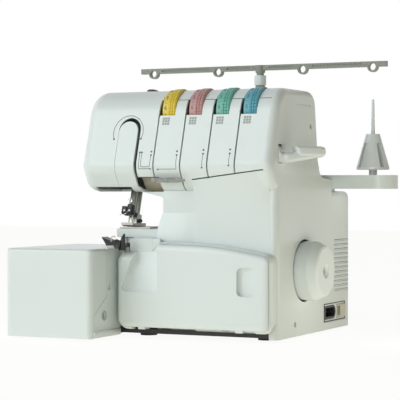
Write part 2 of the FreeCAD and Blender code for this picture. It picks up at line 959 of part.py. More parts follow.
def feed_start():
    return bar_point(arm_top) + feed_gap


def feed_slot():
    y0 = feed_start() - feed_shift - room
    y1 = feed_start() + feed_length + feed_shift + room
    return box(bar_x - feed_width / 2 - room, bar_x + feed_width / 2 + room, y0, y1,
               arm_top - arm_lip, far)


def needle_plate():
    plate = box(arm_left + plate_margin, neck_left - 4 * wall, neck_front + plate_margin,
                feed_start() + feed_length + plate_tail, arm_top, arm_top + plate_thickness)
    return plate.cut([needle_hole(0), feed_slot()])


def feed_dog():
    """Toothed bar on its carrier; the teeth just clear the needle plate."""
    y0, y1 = feed_start(), feed_start() + feed_length
    x0, x1 = bar_x - feed_width / 2, bar_x + feed_width / 2
    top = arm_top + plate_thickness
    bar = box(x0, x1, y0, y1, arm_top - arm_lip, top)
    cuts = []
    for k in range(int(feed_length / tooth_pitch)):
        start = y0 + k * tooth_pitch
        valley = [(start, top + tooth_over), (start + tooth_pitch, top + tooth_over),
                  (start + tooth_pitch / 2, top - tooth_depth)]
        cuts.append(prism_x(valley, x0 - over, x1 + over))
    carrier = box(bar_x - carrier_half, bar_x + carrier_half, y0, y1 + feed_length,
                  arm_top - 2 * arm_lip, arm_top - arm_lip)
    return fused([bar.cut(cuts), carrier])


def cover_outline():
    corner = cover_round + over
    return [
        (-cover_width, base_z + seam, cover_heel_round),
        (0, base_z + seam, corner),
        (0, cover_top_right, corner),
        (cover_drop_x * crown_share, (cover_top_left + cover_top_right) / 2 + cover_crown, cover_bow),
        (cover_drop_x + cover_drop_run, cover_top_left, corner),
        (cover_drop_x, cover_top_low, cover_drop_round),
        (-cover_width, cover_top_low, corner),
    ]


def scoop():
    """Slanted recess that deepens upwards beside the knife."""
    points = [(-over, scoop_bottom), (-over, far), (scoop_depth, far), (scoop_depth, cover_top_low),
              (scoop_lip, scoop_bottom)]
    top_left = scoop_left + scoop_slant
    width = [(scoop_left, scoop_bottom, scoop_round), (scoop_right, scoop_bottom, scoop_round),
             (scoop_right, far), (top_left, far), (top_left, cover_top_low)]
    return prism_x(points, -cover_width + wall, 0).common(prism_y(width, -far, far))


def front_cover():
    back = column_front - seam
    outside = prism_y(cover_outline(), 0, back)
    front_rim = edges_at(outside, lambda b: b.YMax < touch)
    outside = outside.makeFillet(cover_round, front_rim)
    thumb_right, thumb_top = thumb_left + thumb_width, thumb_bottom + thumb_height
    thumb = [(thumb_left, thumb_bottom, thumb_round), (thumb_right, thumb_bottom, thumb_round),
             (thumb_right, thumb_top, thumb_round), (thumb_left, thumb_top, thumb_round)]
    thumb_cup = prism_y(thumb, wall, thumb_depth + wall, -wall)
    hollow = prism_y(cover_outline(), wall, far, wall)
    hollow = hollow.cut([thumb_cup, scoop_backing()])
    open_bottom = box(-cover_width + 2 * cover_round, -2 * cover_round, wall, far, 0, base_z + 3 * wall)
    hollow = hollow.fuse(open_bottom)
    heel = box(-far, far, hinge_y, far, 0, hinge_z + hinge_rod_radius + wall)
    shell = outside.cut([hollow, heel, scoop(), prism_y(thumb, -over, thumb_depth)])
    eye = hinge_rod_radius + wall
    lugs = []
    for x in hinge_lug_places():
        lugs.append(cylinder_x(x, x + hinge_lug, hinge_y, hinge_z, eye))
        lugs.append(box(x, x + hinge_lug, wall / 2, hinge_y, hinge_z - eye, hinge_z + eye))
    rod_hole = cylinder_x(-cover_width, 0, hinge_y, hinge_z, hinge_rod_radius + running)
    return shell.fuse(lugs + [apron()]).cut(rod_hole).removeSplitter()


def apron():
    """Upright wall of the cover that closes the space between the scoop and the arm's lip."""
    left = knife_left + knife_arm_width + knife_clamp_right + blade_thickness + room
    return box(left, cover_drop_x, scoop_depth, column_front - seam,
               cover_top_low - 2 * wall, arm_top - arm_lip - room)


def scoop_backing():
    """Wall behind the scoop, kept solid when the cover is hollowed."""
    points = [(wall, scoop_bottom - 2 * wall), (wall, far), (scoop_depth + wall, far),
              (scoop_depth + wall, cover_top_low - wall)]
    return prism_x(points, scoop_left - wall, scoop_right + wall)


def cover_hinge_rod():
    left = hinge_lug_places()[0] - hinge_lug
    right = hinge_lug_places()[1] + hinge_lug + cover_shift
    return cylinder_x(left, right, hinge_y, hinge_z, hinge_rod_radius)


# Bed extension and the bracket that it slides up to

def extension_plan():
    step = arm_left - room
    back = extension_front + extension_depth
    return [
        (extension_left, extension_front, extension_round),
        (extension_right, extension_front, extension_round),
        (extension_right, room),
        (step, room),
        (step, back, extension_round),
        (extension_left, back, extension_round),
    ]


def bracket_outline(gap):
    front = extension_front + 2 * wall
    return [
        (front - gap, foot_height - gap),
        (bracket_back + gap, foot_height - gap),
        (bracket_back + gap, extension_top),
        (extension_seam_y - gap, extension_top),
        (extension_seam_y - gap, extension_seam_z + gap),
        (front - gap, extension_seam_z / 2 + wall + gap),
    ]


def extension_box():
    outside = prism_z(extension_plan(), extension_low, extension_top)
    top_rim = edges_at(outside, lambda b: b.ZMin > extension_top - touch and b.YMax < room - touch)
    outside = outside.makeFillet(extension_edge, top_rim)
    hollow = prism_z(extension_plan(), extension_low - over, extension_top - wall, wall)
    bracket_room = prism_x(bracket_outline(seam), extension_right - bracket_thickness - room, far)
    above = box(extension_right - bracket_thickness - room, far, extension_seam_y - seam, far,
                extension_seam_z, far)
    under = box(extension_left + 2 * wall, far, extension_front + 2 * wall - room,
                neck_front + foot_inset + room, 0, base_z + room)
    return outside.cut([hollow, bracket_room, above, under])


def extension_bracket():
    plate = prism_x(bracket_outline(0), extension_right - bracket_thickness, extension_right)
    plate = plate.cut(box(-far, far, -far, far, -over, base_z))
    y, z = bracket_screw()
    right = extension_right + over
    screw_hole = cylinder_x(extension_right - 3 * screw_sink, right, y, z, screw_radius + press)
    start = extension_seam_y + wall
    catch = [(start, catch_z), (start + catch_width, catch_z), (start + catch_lean, catch_z + catch_height)]
    return plate.cut([screw_hole, prism_x(catch, extension_right - catch_depth, right)])


# Needle bar and presser, drawn upright about the bar and then leaned

def needle_bar():
    low = -clamp_drop - clamp_height / 2
    return leaning(cylinder_z(0, 0, low, bar_length + low, needle_bar_radius))


def needle_clamp():
    low = -clamp_drop - clamp_height
    back = needle_bar_radius + clamp_clear / 2
    left = -clamp_width / 2 - clamp_shift
    body = box(left, left + clamp_width, back - clamp_depth, back, low, low + clamp_height)
    body = body.makeFillet(clamp_round, edges_at(body, lambda b: b.ZLength > touch))
    shaft = cylinder_z(0, 0, low + clamp_height / 2, far, needle_bar_radius)
    needle_holes = [cylinder_z(x, 0, low - over, low + clamp_height / 2, needle_radius)
                    for x in needle_places()]
    return leaning(body.cut([shaft] + needle_holes))


def needle_places():
    return (-needle_spacing / 2, needle_spacing / 2)


def clamp_screw():
    middle = clamp_screw_rise - clamp_drop
    back = -needle_bar_radius - clamp_screw_gap
    front = back - clamp_screw_length
    head = cylinder_y(0, front, back, middle, clamp_screw_radius)
    reach = clamp_screw_radius + over
    slot = box(-reach, reach, front - over, front + slot_depth, middle - slot_half, middle + slot_half)
    return leaning(head.cut(slot))


def needles():
    top = -clamp_drop - clamp_height / 2
    shapes = []
    for x in needle_places():
        blade = cylinder_z(x, 0, top - needle_length + needle_tip, top, needle_radius)
        tip = Part.makeCone(needle_point, needle_radius, needle_tip, Vector(x, 0, top - needle_length))
        shapes.append(leaning(blade.fuse(tip).removeSplitter()))
    return shapes


def presser_bar():
    low = presser_bar_end()
    return leaning(cylinder_z(0, bar_spacing, low, presser_length + low, presser_bar_radius))


def presser_bar_end():
    """Lower end of the presser bar, along its leaning line."""
    return (sole_top() + shank_rise - bar_z) / math.cos(lean)


def sole_top():
    return arm_top + plate_thickness + room / 2 + sole_thickness


def presser_foot():
    low = sole_top() - sole_thickness
    needle_y = bar_point(low)
    front = needle_y - sole_ahead * sole_length
    corners = [
        (front, low + toe_lift),
        (front + toe_length, low),
        (front + sole_length, low),
        (front + sole_length, sole_top()),
        (front + toe_length, sole_top()),
        (front, sole_top() + toe_rise),
    ]
    sole = prism_x(corners, bar_x - sole_width / 2, bar_x + sole_width / 2)
    sole = sole.cut(needle_hole(room))
    start = presser_bar_end()
    shank = leaning(box(-shank_half_width, shank_half_width,
                        bar_spacing - shank_half_depth, bar_spacing + shank_half_depth,
                        start - 3 * wall - shank_rise, start + 2 * wall))
    shank = shank.cut(box(-far, far, -far, far, 0, low + sole_thickness / 2))
    bar_hole = leaning(cylinder_z(0, bar_spacing, start, far, presser_bar_radius))
    return sole.fuse(shank).cut(bar_hole).removeSplitter()


def presser_spring():
    low = (block_high - bar_z) / math.cos(lean) + 3 * wall
    outer = presser_bar_radius + presser_spring_wire
    tube = cylinder_z(0, bar_spacing, low, low + presser_spring_length, outer)
    return leaning(tube.cut(cylinder_z(0, bar_spacing, 0, far, presser_bar_radius + seam)))


def pressure_knob():
    top = (head_top - bar_z) / math.cos(lean)
    knob = cylinder_z(0, bar_spacing, top - knob_sink, top + knob_height, knob_radius)
    crown = edges_at(knob, lambda b: b.ZMin > top + knob_height - touch)
    return leaning(knob.makeFillet(knob_round, crown))


# Loopers, knives and feed

def looper(x, y, z, reach, rise):
    """Bent arm swinging on a pin that runs front to back; its blade points left."""
    back = y + looper_thickness
    quarter = looper_thickness / 4
    hub = cylinder_y(x, y, back, z, looper_pin_radius + looper_hub)
    tip = z + rise + looper_tip_rise
    arm = [
        (x - looper_root, z),
        (x + looper_heel, z + looper_heel_rise),
        (x - reach * looper_elbow, z + rise),
        (x - reach, tip),
        (x - reach, tip - looper_tip),
        (x - reach * looper_belly, z + rise - looper_blade),
    ]
    whole = hub.fuse(prism_y(arm, y + quarter, back - quarter))
    return whole.cut(cylinder_y(x, y - over, back + over, z, looper_pin_radius + running)).removeSplitter()


def lower_looper():
    return looper(lower_looper_x, lower_looper_y, lower_looper_z, lower_looper_reach, lower_looper_rise)


def upper_looper():
    return looper(upper_looper_x, upper_looper_y, upper_looper_z, upper_looper_reach, upper_looper_rise)


def knife_arm():
    """Lever that carries the moving knife up past the front of the arm."""
    right = knife_left + knife_arm_width
    heel = column_front + room
    hub = cylinder_x(knife_left, right, knife_y, knife_z, knife_pin_radius + knife_hub)
    riser = heel + knife_riser
    tuck = knife_back - knife_tuck
    lever = [
        (knife_y, knife_z - knife_lever_half),
        (knife_y, knife_z + knife_lever_half),
        (riser, knife_z + knife_elbow),
        (riser, knife_low + knife_foot),
        (tuck, knife_low + knife_foot),
        (tuck, knife_low),
        (heel, knife_low),
        (heel, knife_z + knife_heel),
    ]
    arm = prism_x(lever, knife_left, right)
    hole = cylinder_x(knife_left - over, right + over, knife_y, knife_z, knife_pin_radius + running)
    clamp = box(knife_left - knife_clamp_left, right + knife_clamp_right, -knife_reach, knife_back,
                knife_low, knife_high)
    clamp = clamp.makeFillet(knife_clamp_round, edges_at(clamp, lambda b: b.XLength > touch))
    return hub.fuse([arm, clamp]).cut(hole).removeSplitter()


def upper_knife():
    """Blade screwed on the right side of the clamp, standing just above it."""
    face = knife_left + knife_arm_width + knife_clamp_right
    corners = [
        (blade_start - knife_reach, knife_low - blade_drop),
        (knife_back - blade_end, knife_low - blade_drop),
        (knife_back - knife_tuck, knife_high + blade_rise),
        (blade_slope - knife_reach, knife_high - blade_rise),
    ]
    return prism_x(corners, face, face + blade_thickness)


def lower_knife():
    x = knife_left + knife_arm_width + lower_knife_gap
    return box(x, x + lower_knife_width, neck_front - lower_knife_depth, neck_front,
               arm_top - arm_lip, arm_top)


# Drive: handwheel, shaft, pulleys, belt and motor

def handwheel():
    bore = shaft_radius + press
    dimple_floor = wheel_width - wheel_dimple_depth
    grip = [
        (-wall / 2, bore),
        (-wall / 2, wheel_radius),
        (wheel_width * wheel_shoulder, wheel_radius, wheel_round),
        (wheel_width, wheel_face_radius, wheel_face_round),
        (wheel_width, wheel_dimple),
        (dimple_floor, wheel_dimple - wheel_dimple_slope),
        (dimple_floor, bore),
    ]
    return turned_x(grip, shaft_y, shaft_z)


def main_shaft():
    left = min(bearing_walls) - bearing_thickness
    return cylinder_x(left, wheel_width - shaft_end_gap, shaft_y, shaft_z, shaft_radius)


def drive_pulley():
    rim = cylinder_x(pulley_x, pulley_x + pulley_width, shaft_y, shaft_z, pulley_radius)
    return rim.cut(cylinder_x(pulley_x - over, far, shaft_y, shaft_z, shaft_radius + press))


def belt_loop(extra, x0, x1):
    """Space inside a loop round both pulleys, standing off from them by extra."""
    big, small = pulley_radius + extra, motor_pulley_radius + extra
    run_y, run_z = motor_y - shaft_y, motor_z - shaft_z
    along = math.atan2(run_z, run_y)
    spread = math.acos((big - small) / math.hypot(run_y, run_z))
    upper, lower = along + spread, along - spread
    corners = [
        (shaft_y + big * math.cos(upper), shaft_z + big * math.sin(upper)),
        (motor_y + small * math.cos(upper), motor_z + small * math.sin(upper)),
        (motor_y + small * math.cos(lower), motor_z + small * math.sin(lower)),
        (shaft_y + big * math.cos(lower), shaft_z + big * math.sin(lower)),
    ]
    rounds = [cylinder_x(x0, x1, shaft_y, shaft_z, big), cylinder_x(x0, x1, motor_y, motor_z, small)]
    return prism_x(corners, x0, x1).fuse(rounds).removeSplitter()


def drive_belt():
    left = pulley_x + (pulley_width - belt_width) / 2
    outside = belt_loop(belt_clearance + belt_thickness, left, left + belt_width)
    return outside.cut(belt_loop(belt_clearance, left - over, left + belt_width + over))


def motor():
    right = pulley_x - 4 * wall
    can = cylinder_x(right - motor_length, right, motor_y, motor_z, motor_radius)
    seat_half = motor_seat_share * motor_radius
    seat = box(right - motor_length + 2 * wall, right - 2 * wall, motor_y - seat_half, motor_y + seat_half,
               floor_z, motor_z)
    bore = cylinder_x(right - motor_length / 2, right + over, motor_y, motor_z, motor_shaft_radius + running)
    return can.fuse(seat).cut(bore).removeSplitter()


def motor_pulley():
    rim = cylinder_x(pulley_x, pulley_x + pulley_width, motor_y, motor_z, motor_pulley_radius)
    start = pulley_x - 4 * wall - motor_length / 3
    spindle = cylinder_x(start, pulley_x, motor_y, motor_z, motor_shaft_radius)
    return rim.fuse(spindle).removeSplitter()


# Tension dials on one shaft, each with its discs and spring

def tension_dial(index):
    left = dial_left(index)
    plain = cylinder_x(left, left + dial_width * dial_scale_share, dial_y, dial_z, dial_radius)
    valley = dial_radius - dial_groove
    ribs = []
    for k in range(dial_ribs):
        for radius, share in ((dial_radius, 0), (dial_radius, rib_top),
                              (valley, rib_foot), (valley, rib_end)):
            angle = 2 * math.pi * (k + share) / dial_ribs
            ribs.append((dial_y + radius * math.cos(angle), dial_z + radius * math.sin(angle)))
    grip = prism_x(ribs, left + dial_width * dial_scale_share, left + dial_width)
    pocket = cylinder_x(left + 2 * wall, far, dial_y, dial_z, valley - wall)
    hub = cylinder_x(left, left + dial_width, dial_y, dial_z, tension_shaft_radius + wall)
    bore = cylinder_x(left - over, far, dial_y, dial_z, tension_shaft_radius + running)
    return plain.fuse(grip).cut(pocket).fuse(hub).cut(bore).removeSplitter()


def tension_shaft():
    first, last = tension_ears()
    return cylinder_x(first[0], last[1], dial_y, dial_z, tension_shaft_radius)


def ring_on_shaft(x0, x1, radius):
    ring = cylinder_x(x0, x1, dial_y, dial_z, radius)
    return ring.cut(cylinder_x(x0 - over, x1 + over, dial_y, dial_z, tension_shaft_radius + press))


def tension_units():
    """Two discs and a spring beside each dial."""
    rings = []
    for index in range(dial_count):
        start = dial_left(index) + dial_width + room / 2
        for k in range(2):
            x0 = start + k * disc_pitch
            rings.append(ring_on_shaft(x0, x0 + disc_thickness, disc_radius))
        x0 = start + disc_pitch + disc_thickness + room / 2
        rings.append(ring_on_shaft(x0, x0 + spring_length, spring_radius))
    return rings


# Presser lifter lever on the right side

def lifter_lever():
    half = lever_width / 2
    tall = lever_height / 2
    root = lever_x - lever_root
    plan = [
        (root, lever_y - half),
        (lever_elbow, lever_y - half, lever_bend),
        (lever_reach + half * lever_tip_share, lever_y + lever_back - half, lever_end_round),
        (lever_reach - half, lever_y + lever_back + half, lever_end_round),
        (lever_elbow - half, lever_y + half, lever_inner_bend),
        (root, lever_y + half),
    ]
    side = [
        (root, lever_z - tall),
        (lever_elbow, lever_z - tall, lever_side_bend),
        (lever_reach + half, lever_z - tall + lever_rise),
        (lever_reach + half, lever_z + tall + lever_rise),
        (lever_elbow, lever_z + tall, lever_side_bend),
        (root, lever_z + tall),
    ]
    arm = prism_z(plan, 0, far).common(prism_y(side, -far, far))
    arm = arm.makeFillet(lever_edge, edges_at(arm, lambda b: b.XMax > touch and b.XLength > touch))
    hub = cylinder_y(lever_x, lever_y - half, lever_y + half, lever_z, lever_hub)
    pin_hole = cylinder_y(lever_x, 0, far, lever_z, lever_pin_radius + running)
    return hub.fuse(arm).cut(pin_hole).removeSplitter()


# Mains inlet and power switch

def power_inlet():
    face = -panel_depth
    body = prism_x(inlet_window(0), -inlet_depth, face)
    socket = prism_x(inlet_window(0), -inlet_depth + 2 * wall, far, wall)
    middle = inlet_left + inlet_length / 2
    height = inlet_low + inlet_height / 2
    spread = inlet_length / 6
    pins = [cylinder_x(-inlet_depth + wall, -inlet_depth / 2 + wall, y, height, inlet_pin_radius)
            for y in (middle - spread, middle + spread)]
    return body.cut(socket).fuse(pins).removeSplitter()


def switch_pivot():
    return (-panel_depth - switch_depth, switch_left + switch_length / 2)


def power_switch():
    """Rocker with a dished face, tipped to its off side."""
    x, y = switch_pivot()
    half = switch_length / 2 - switch_clearance
    face = x + switch_depth
    plan = [
        (x - rocker_foot, y - rocker_foot_half),
        (face, y - half),
        (face + rocker_crest, y - half + rocker_edge),
        (face, y),
        (face + rocker_crest, y + half - rocker_edge),
        (face, y + half),
        (x - rocker_foot, y + rocker_foot_half),
    ]
    low, high = inlet_low + room / 2, inlet_low + inlet_height - room / 2
    pivot = cylinder_z(x, y, low, high, rocker_foot_half)
    rocker = prism_z(plan, low, high).fuse(pivot).removeSplitter()
    rocker.rotate(Vector(x, y, 0), Vector(0, 0, 1), -switch_angle / 2)
    return rocker


# Spool tray, cones and thread tree

def tray_y():
    return sweep_foot_y + tray_depth / 2


def spool_places():
    return [tree_x + step for step in (-outer_spool, -inner_spool, inner_spool, outer_spool)]


def spool_tray():
    front, back = sweep_foot_y + seam, sweep_foot_y + tray_depth
    bend = tray_depth / 2 - over
    left, right = tree_x - tray_half, tree_x + tray_half
    plan = [(left, front, bend), (right, front, bend), (right, back, bend), (left, back, bend)]
    outside = prism_z(plan, tray_low, tray_high)
    hollow = prism_z(plan, tray_low + tray_floor, far, wall)
    seats = [cylinder_z(x, tray_y(), tray_low, cone_low, spool_seat_radius) for x in spool_places()]
    support = box(column_left + 4 * wall, -4 * wall, front + 2 * wall, back - 2 * wall, motor_top, tray_low)
    holes = [cylinder_z(x, tray_y(), tray_low + tray_floor, far, pin_radius + press) for x in spool_places()]
    tube_hole = cylinder_z(tree_x, tray_y(), tray_low + tray_floor, far, tube_radius + press)
    return outside.cut(hollow).fuse(seats + [support]).cut(holes + [tube_hole]).removeSplitter()


def spool_pins():
    """Straight inside the cone, and tapering above it."""
    pins = []
    for x in spool_places():
        stem = cylinder_z(x, tray_y(), tray_low + tray_floor, cone_high, pin_radius)
        taper = Part.makeCone(pin_radius, pin_top_radius, pin_top - cone_high, Vector(x, tray_y(), cone_high))
        taper = taper.makeFillet(pin_top_radius * pin_round_share,
                                 edges_at(taper, lambda b: b.ZMin > pin_top - touch))
        pins.append(stem.fuse(taper).removeSplitter())
    return pins


def cone_holders():
    bore = pin_radius + 4 * running
    profile = [
        (cone_low_radius - wall, cone_low),
        (cone_low_radius, cone_low),
        (cone_low_radius, cone_low + wall),
        (cone_high_radius, cone_high),
        (bore, cone_high),
        (bore, cone_high - 2 * wall),
        (cone_high_radius - wall, cone_high - 2 * wall),
    ]
    cones = []
    for x in spool_places():
        cone = turned_z(profile, x, tray_y())
        slot = box(x - wall, x + wall, tray_y(), tray_y() + 2 * cone_low_radius,
                   cone_low + wall, cone_high - 4 * wall)
        for k in range(cone_slots):
            cutter = slot.copy()
            cutter.rotate(Vector(x, tray_y(), 0), Vector(0, 0, 1), 360 * k / cone_slots + cone_slot_turn)
            cone = cone.cut(cutter)
        cones.append(cone)
    return cones


def tree_tube():
    tube = cylinder_z(tree_x, tray_y(), tray_low + tray_floor, collar_low, tube_radius)
    return tube.cut(cylinder_z(tree_x, tray_y(), rod_low - room, far, rod_radius + running))


def tree_collar():
    collar = cylinder_z(tree_x, tray_y(), collar_low, collar_high, collar_radius)
    return collar.cut(cylinder_z(tree_x, tray_y(), 0, far, rod_radius + running))


def tree_rod():
    return cylinder_z(tree_x, tray_y(), rod_low, bar_low, rod_radius)


def tree_bar():
    front = tray_y() - bar_depth / 2
    back = tray_y() + bar_depth / 2
    top = bar_low + bar_height
    bar = box(tree_x - bar_half, tree_x + bar_half, front, back, bar_low, top)
    rings = [cylinder_y(x, front, back, bar_low, ring_outer) for x in spool_places()]
    holes = [cylinder_y(x, front - over, back + over, bar_low, ring_inner) for x in spool_places()]
    socket = cylinder_z(tree_x, tray_y(), bar_low - wall, top, rod_radius + wall / 2)
    rod_hole = cylinder_z(tree_x, tray_y(), 0, bar_low, rod_radius + press)
    grooves = []
    stops = sorted(spool_places() + [tree_x])
    for left, right in zip(stops, stops[1:]):
        x0, x1 = left + 2 * ring_outer, right - 2 * ring_outer
        low, high = bar_low + bar_height / 3, bar_low + 2 * bar_height / 3
        grooves.append(box(x0, x1, front - over, front + bar_groove, low, high))
        grooves.append(box(x0, x1, back - bar_groove, back + over, low, high))
    return bar.fuse(rings + [socket]).cut(holes + grooves + [rod_hole]).removeSplitter()


# Screws that show on the outside

def screw_places():
    """Screws of the right end cover, as (y, z)."""
    return ((screw_low_y, screw_low_z), (screw_high_y, screw_high_z))


def screw_heads():
    heads = [cylinder_x(-wall - screw_grip, -screw_sink, y, z, screw_radius) for y, z in screw_places()]
    y, z = bracket_screw()
    heads.append(cylinder_x(extension_right - 3 * screw_sink, extension_right - screw_sink,
                            y, z, screw_radius))
    return heads


def bracket_screw():
    return (extension_seam_y - bracket_screw_inset, extension_seam_z / 2 + wall)


# The whole machine

def build():
    shell = body_shell()
    pieces = {
        "base_pan": base_pan(),
        "rubber_feet": rubber_feet(),
        "frame_casting": frame_casting(),
        "right_cover": right_cover(shell),
        "column_front_panel": column_front_panel(shell),
        "neck_cover": neck_cover(shell),
        "rear_cover": rear_cover(shell),
        "head_face_cover": head_face_cover(shell),
        "head_top_cover": head_top_cover(shell),
        "head_under_cover": head_under_cover(shell),
        "take_up_cover": take_up_cover(shell),
        "thread_guide": thread_guide(),
        "bed_cover": bed_cover(),
        "needle_plate": needle_plate(),
        "feed_dog": feed_dog(),
        "front_cover": front_cover(),
        "cover_hinge_rod": cover_hinge_rod(),
        "extension_box": extension_box(),
        "extension_bracket": extension_bracket(),
        "pivot_pins": pivot_pins(),
        "needle_bar": needle_bar(),
        "needle_clamp": needle_clamp(),
        "clamp_screw": clamp_screw(),
        "needles": needles(),
        "presser_bar": presser_bar(),
        "presser_foot": presser_foot(),
        "presser_spring": presser_spring(),
        "pressure_knob": pressure_knob(),
        "lower_looper": lower_looper(),
        "upper_looper": upper_looper(),
        "knife_arm": knife_arm(),
        "upper_knife": upper_knife(),
        "lower_knife": lower_knife(),
        "handwheel": handwheel(),
        "main_shaft": main_shaft(),
        "drive_pulley": drive_pulley(),
        "drive_belt": drive_belt(),
        "motor": motor(),
        "motor_pulley": motor_pulley(),
        "tension_units": tension_units(),
        "lifter_lever": lifter_lever(),
        "power_inlet": power_inlet(),
        "power_switch": power_switch(),
        "spool_tray": spool_tray(),
        "spool_pins": spool_pins(),
        "cone_holders": cone_holders(),
        "tree_tube": tree_tube(),
        "tree_collar": tree_collar(),
        "tree_rod": tree_rod(),
        "tree_bar": tree_bar(),
        "cover_screws": screw_heads(),
    }
    for index in range(dial_count):
        pieces["tension_panel_%d" % (index + 1)] = tension_panel(shell, index)
        pieces["tension_dial_%d" % (index + 1)] = tension_dial(index)
    return {name: as_one(shape) for name, shape in pieces.items()}


def as_one(shape):
    """One solid as it is, and several, or a list, as a compound of solids."""
    solids = shape if isinstance(shape, list) else shape.Solids
    return solids[0] if len(solids) == 1 else Part.makeCompound(solids)


def footprint_middle():
    """Middle of the footprint, which becomes the origin."""
    left, right = extension_left, tree_x + tray_half
    front, back = extension_front, body_back
    return Vector((left + right) / 2, (front + back) / 2, 0)


def write(pieces):
    os.makedirs("parts", exist_ok=True)
    for name, shape in pieces.items():
        shape.translate(footprint_middle() * -1)
        shape.exportStep(os.path.join("parts", name + ".step"))


write(build())
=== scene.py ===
# %% [markdown]
# A four-thread overlock sewing machine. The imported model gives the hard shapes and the
# joints. This lesson gives them their finishes, adds the printed marks, shallow faces and
# small hardware that the eye looks for, and sets up a plain studio.

# %% Load the frame
import math
import bpy
from mathutils import Matrix, Vector


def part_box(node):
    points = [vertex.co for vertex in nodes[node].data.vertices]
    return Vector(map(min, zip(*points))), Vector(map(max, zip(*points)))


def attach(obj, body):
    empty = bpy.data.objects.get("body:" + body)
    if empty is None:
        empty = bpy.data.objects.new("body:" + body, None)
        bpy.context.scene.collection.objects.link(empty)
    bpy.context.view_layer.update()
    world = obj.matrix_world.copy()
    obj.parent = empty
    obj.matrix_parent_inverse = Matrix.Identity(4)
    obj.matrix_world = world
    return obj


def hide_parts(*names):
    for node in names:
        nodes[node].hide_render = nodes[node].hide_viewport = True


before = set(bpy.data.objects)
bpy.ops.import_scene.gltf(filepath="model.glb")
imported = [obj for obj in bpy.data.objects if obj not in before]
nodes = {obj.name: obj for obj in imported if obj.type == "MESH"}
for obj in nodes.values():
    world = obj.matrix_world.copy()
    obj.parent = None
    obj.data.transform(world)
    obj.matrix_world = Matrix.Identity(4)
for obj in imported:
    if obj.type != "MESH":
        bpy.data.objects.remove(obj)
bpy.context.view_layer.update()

# %% [markdown]
# Every finish starts from the same small recipe: a Principled shader, a slow noise that
# moves the colour a little, as moulding and age do, and a fine noise that moves the
# roughness and the bump. A single flat colour would look like a toy. Object coordinates
# are used because every piece keeps its place in its own mesh, so the grain never slides.

# %% A recipe for finishes
def finish(name, colour, roughness, metallic=0.0, grain=900.0, bump=0.05, drift=0.06, coat=0.0):
    """Material with a slow colour drift, and fine grain in its roughness and bump."""
    material = bpy.data.materials.new(name)
    material.use_nodes = True
    tree = material.node_tree
    shader = tree.nodes["Principled BSDF"]
    shader.inputs["Metallic"].default_value = metallic
    shader.inputs["Coat Weight"].default_value = coat
    shader.inputs["Coat Roughness"].default_value = 0.12
    place = tree.nodes.new("ShaderNodeTexCoord")

    slow = tree.nodes.new("ShaderNodeTexNoise")
    slow.inputs["Scale"].default_value = 14.0
    slow.inputs["Detail"].default_value = 3.0
    tree.links.new(place.outputs["Object"], slow.inputs["Vector"])
    tint = tree.nodes.new("ShaderNodeMix")
    tint.data_type = "RGBA"
    tint.inputs["A"].default_value = (*[c * (1 - drift) for c in colour], 1)
    tint.inputs["B"].default_value = (*[min(1.0, c * (1 + drift)) for c in colour], 1)
    tree.links.new(slow.outputs["Fac"], tint.inputs["Factor"])
    tree.links.new(tint.outputs["Result"], shader.inputs["Base Color"])

    fine = tree.nodes.new("ShaderNodeTexNoise")
    fine.inputs["Scale"].default_value = grain
    fine.inputs["Detail"].default_value = 4.0
    tree.links.new(place.outputs["Object"], fine.inputs["Vector"])
    gloss = tree.nodes.new("ShaderNodeMapRange")
    gloss.inputs["To Min"].default_value = roughness * 0.8
    gloss.inputs["To Max"].default_value = min(1.0, roughness * 1.2)
    tree.links.new(fine.outputs["Fac"], gloss.inputs["Value"])
    tree.links.new(gloss.outputs["Result"], shader.inputs["Roughness"])
    relief = tree.nodes.new("ShaderNodeBump")
    relief.inputs["Strength"].default_value = bump
    relief.inputs["Distance"].default_value = 0.0004
    tree.links.new(fine.outputs["Fac"], relief.inputs["Height"])
    tree.links.new(relief.outputs["Normal"], shader.inputs["Normal"])
    return material


print("finish recipe ready")

# %% [markdown]
# The covers are satin white plastic with a faint cool cast. The cast frame is hidden, the
# working parts are ground steel, and the base, clamp and knife holder are black. Each dial
# has its own thread colour, so that a thread can be followed from dial to looper.

# %% Finishes of the machine
cover_white = finish("cover_white", (0.77, 0.83, 0.83), 0.34, bump=0.04, drift=0.02, coat=0.3)
pan_black = finish("pan_black", (0.022, 0.022, 0.021), 0.5, bump=0.12, drift=0.25)
foot_rubber = finish("foot_rubber", (0.03, 0.03, 0.03), 0.8, bump=0.2, drift=0.2)
cast_grey = finish("cast_grey", (0.30, 0.31, 0.32), 0.65, bump=0.35, grain=420.0, drift=0.12)
ground_steel = finish("ground_steel", (0.42, 0.41, 0.37), 0.34, metallic=1.0, grain=1500.0, drift=0.08)
clamp_black = finish("clamp_black", (0.018, 0.018, 0.017), 0.36, metallic=0.2, drift=0.2)
tree_grey = finish("tree_grey", (0.29, 0.30, 0.26), 0.45, bump=0.06, drift=0.06)
switch_grey = finish("switch_grey", (0.70, 0.68, 0.58), 0.4, bump=0.05, drift=0.05)
# Painted shade: the wall seen through the notch is white plastic, and this tan darkens it to the notch's
# shade.
notch_shade_tan = finish("notch_shade_tan", (0.50, 0.45, 0.36), 0.6, bump=0.08, drift=0.06)
dial_finishes = [
    finish("dial_yellow", (0.78, 0.60, 0.06), 0.36, drift=0.05),
    finish("dial_pink", (0.53, 0.29, 0.29), 0.36, drift=0.05),
    finish("dial_green", (0.16, 0.48, 0.40), 0.36, drift=0.05),
    finish("dial_blue", (0.11, 0.38, 0.48), 0.36, drift=0.05),
]
slot_finishes = {
    "body_plastic": cover_white,
    "dark_plastic": pan_black,
    "rubber": foot_rubber,
    "casting": cast_grey,
    "steel": ground_steel,
    "black_metal": clamp_black,
    "grey_plastic": tree_grey,
    "switch_plastic": switch_grey,
    "yellow_dial": dial_finishes[0],
    "pink_dial": dial_finishes[1],
    "green_dial": dial_finishes[2],
    "blue_dial": dial_finishes[3],
}


def base_name(material):
    """Slot name of a CAD material, without a copy number."""
    return material.name.split(".")[0]


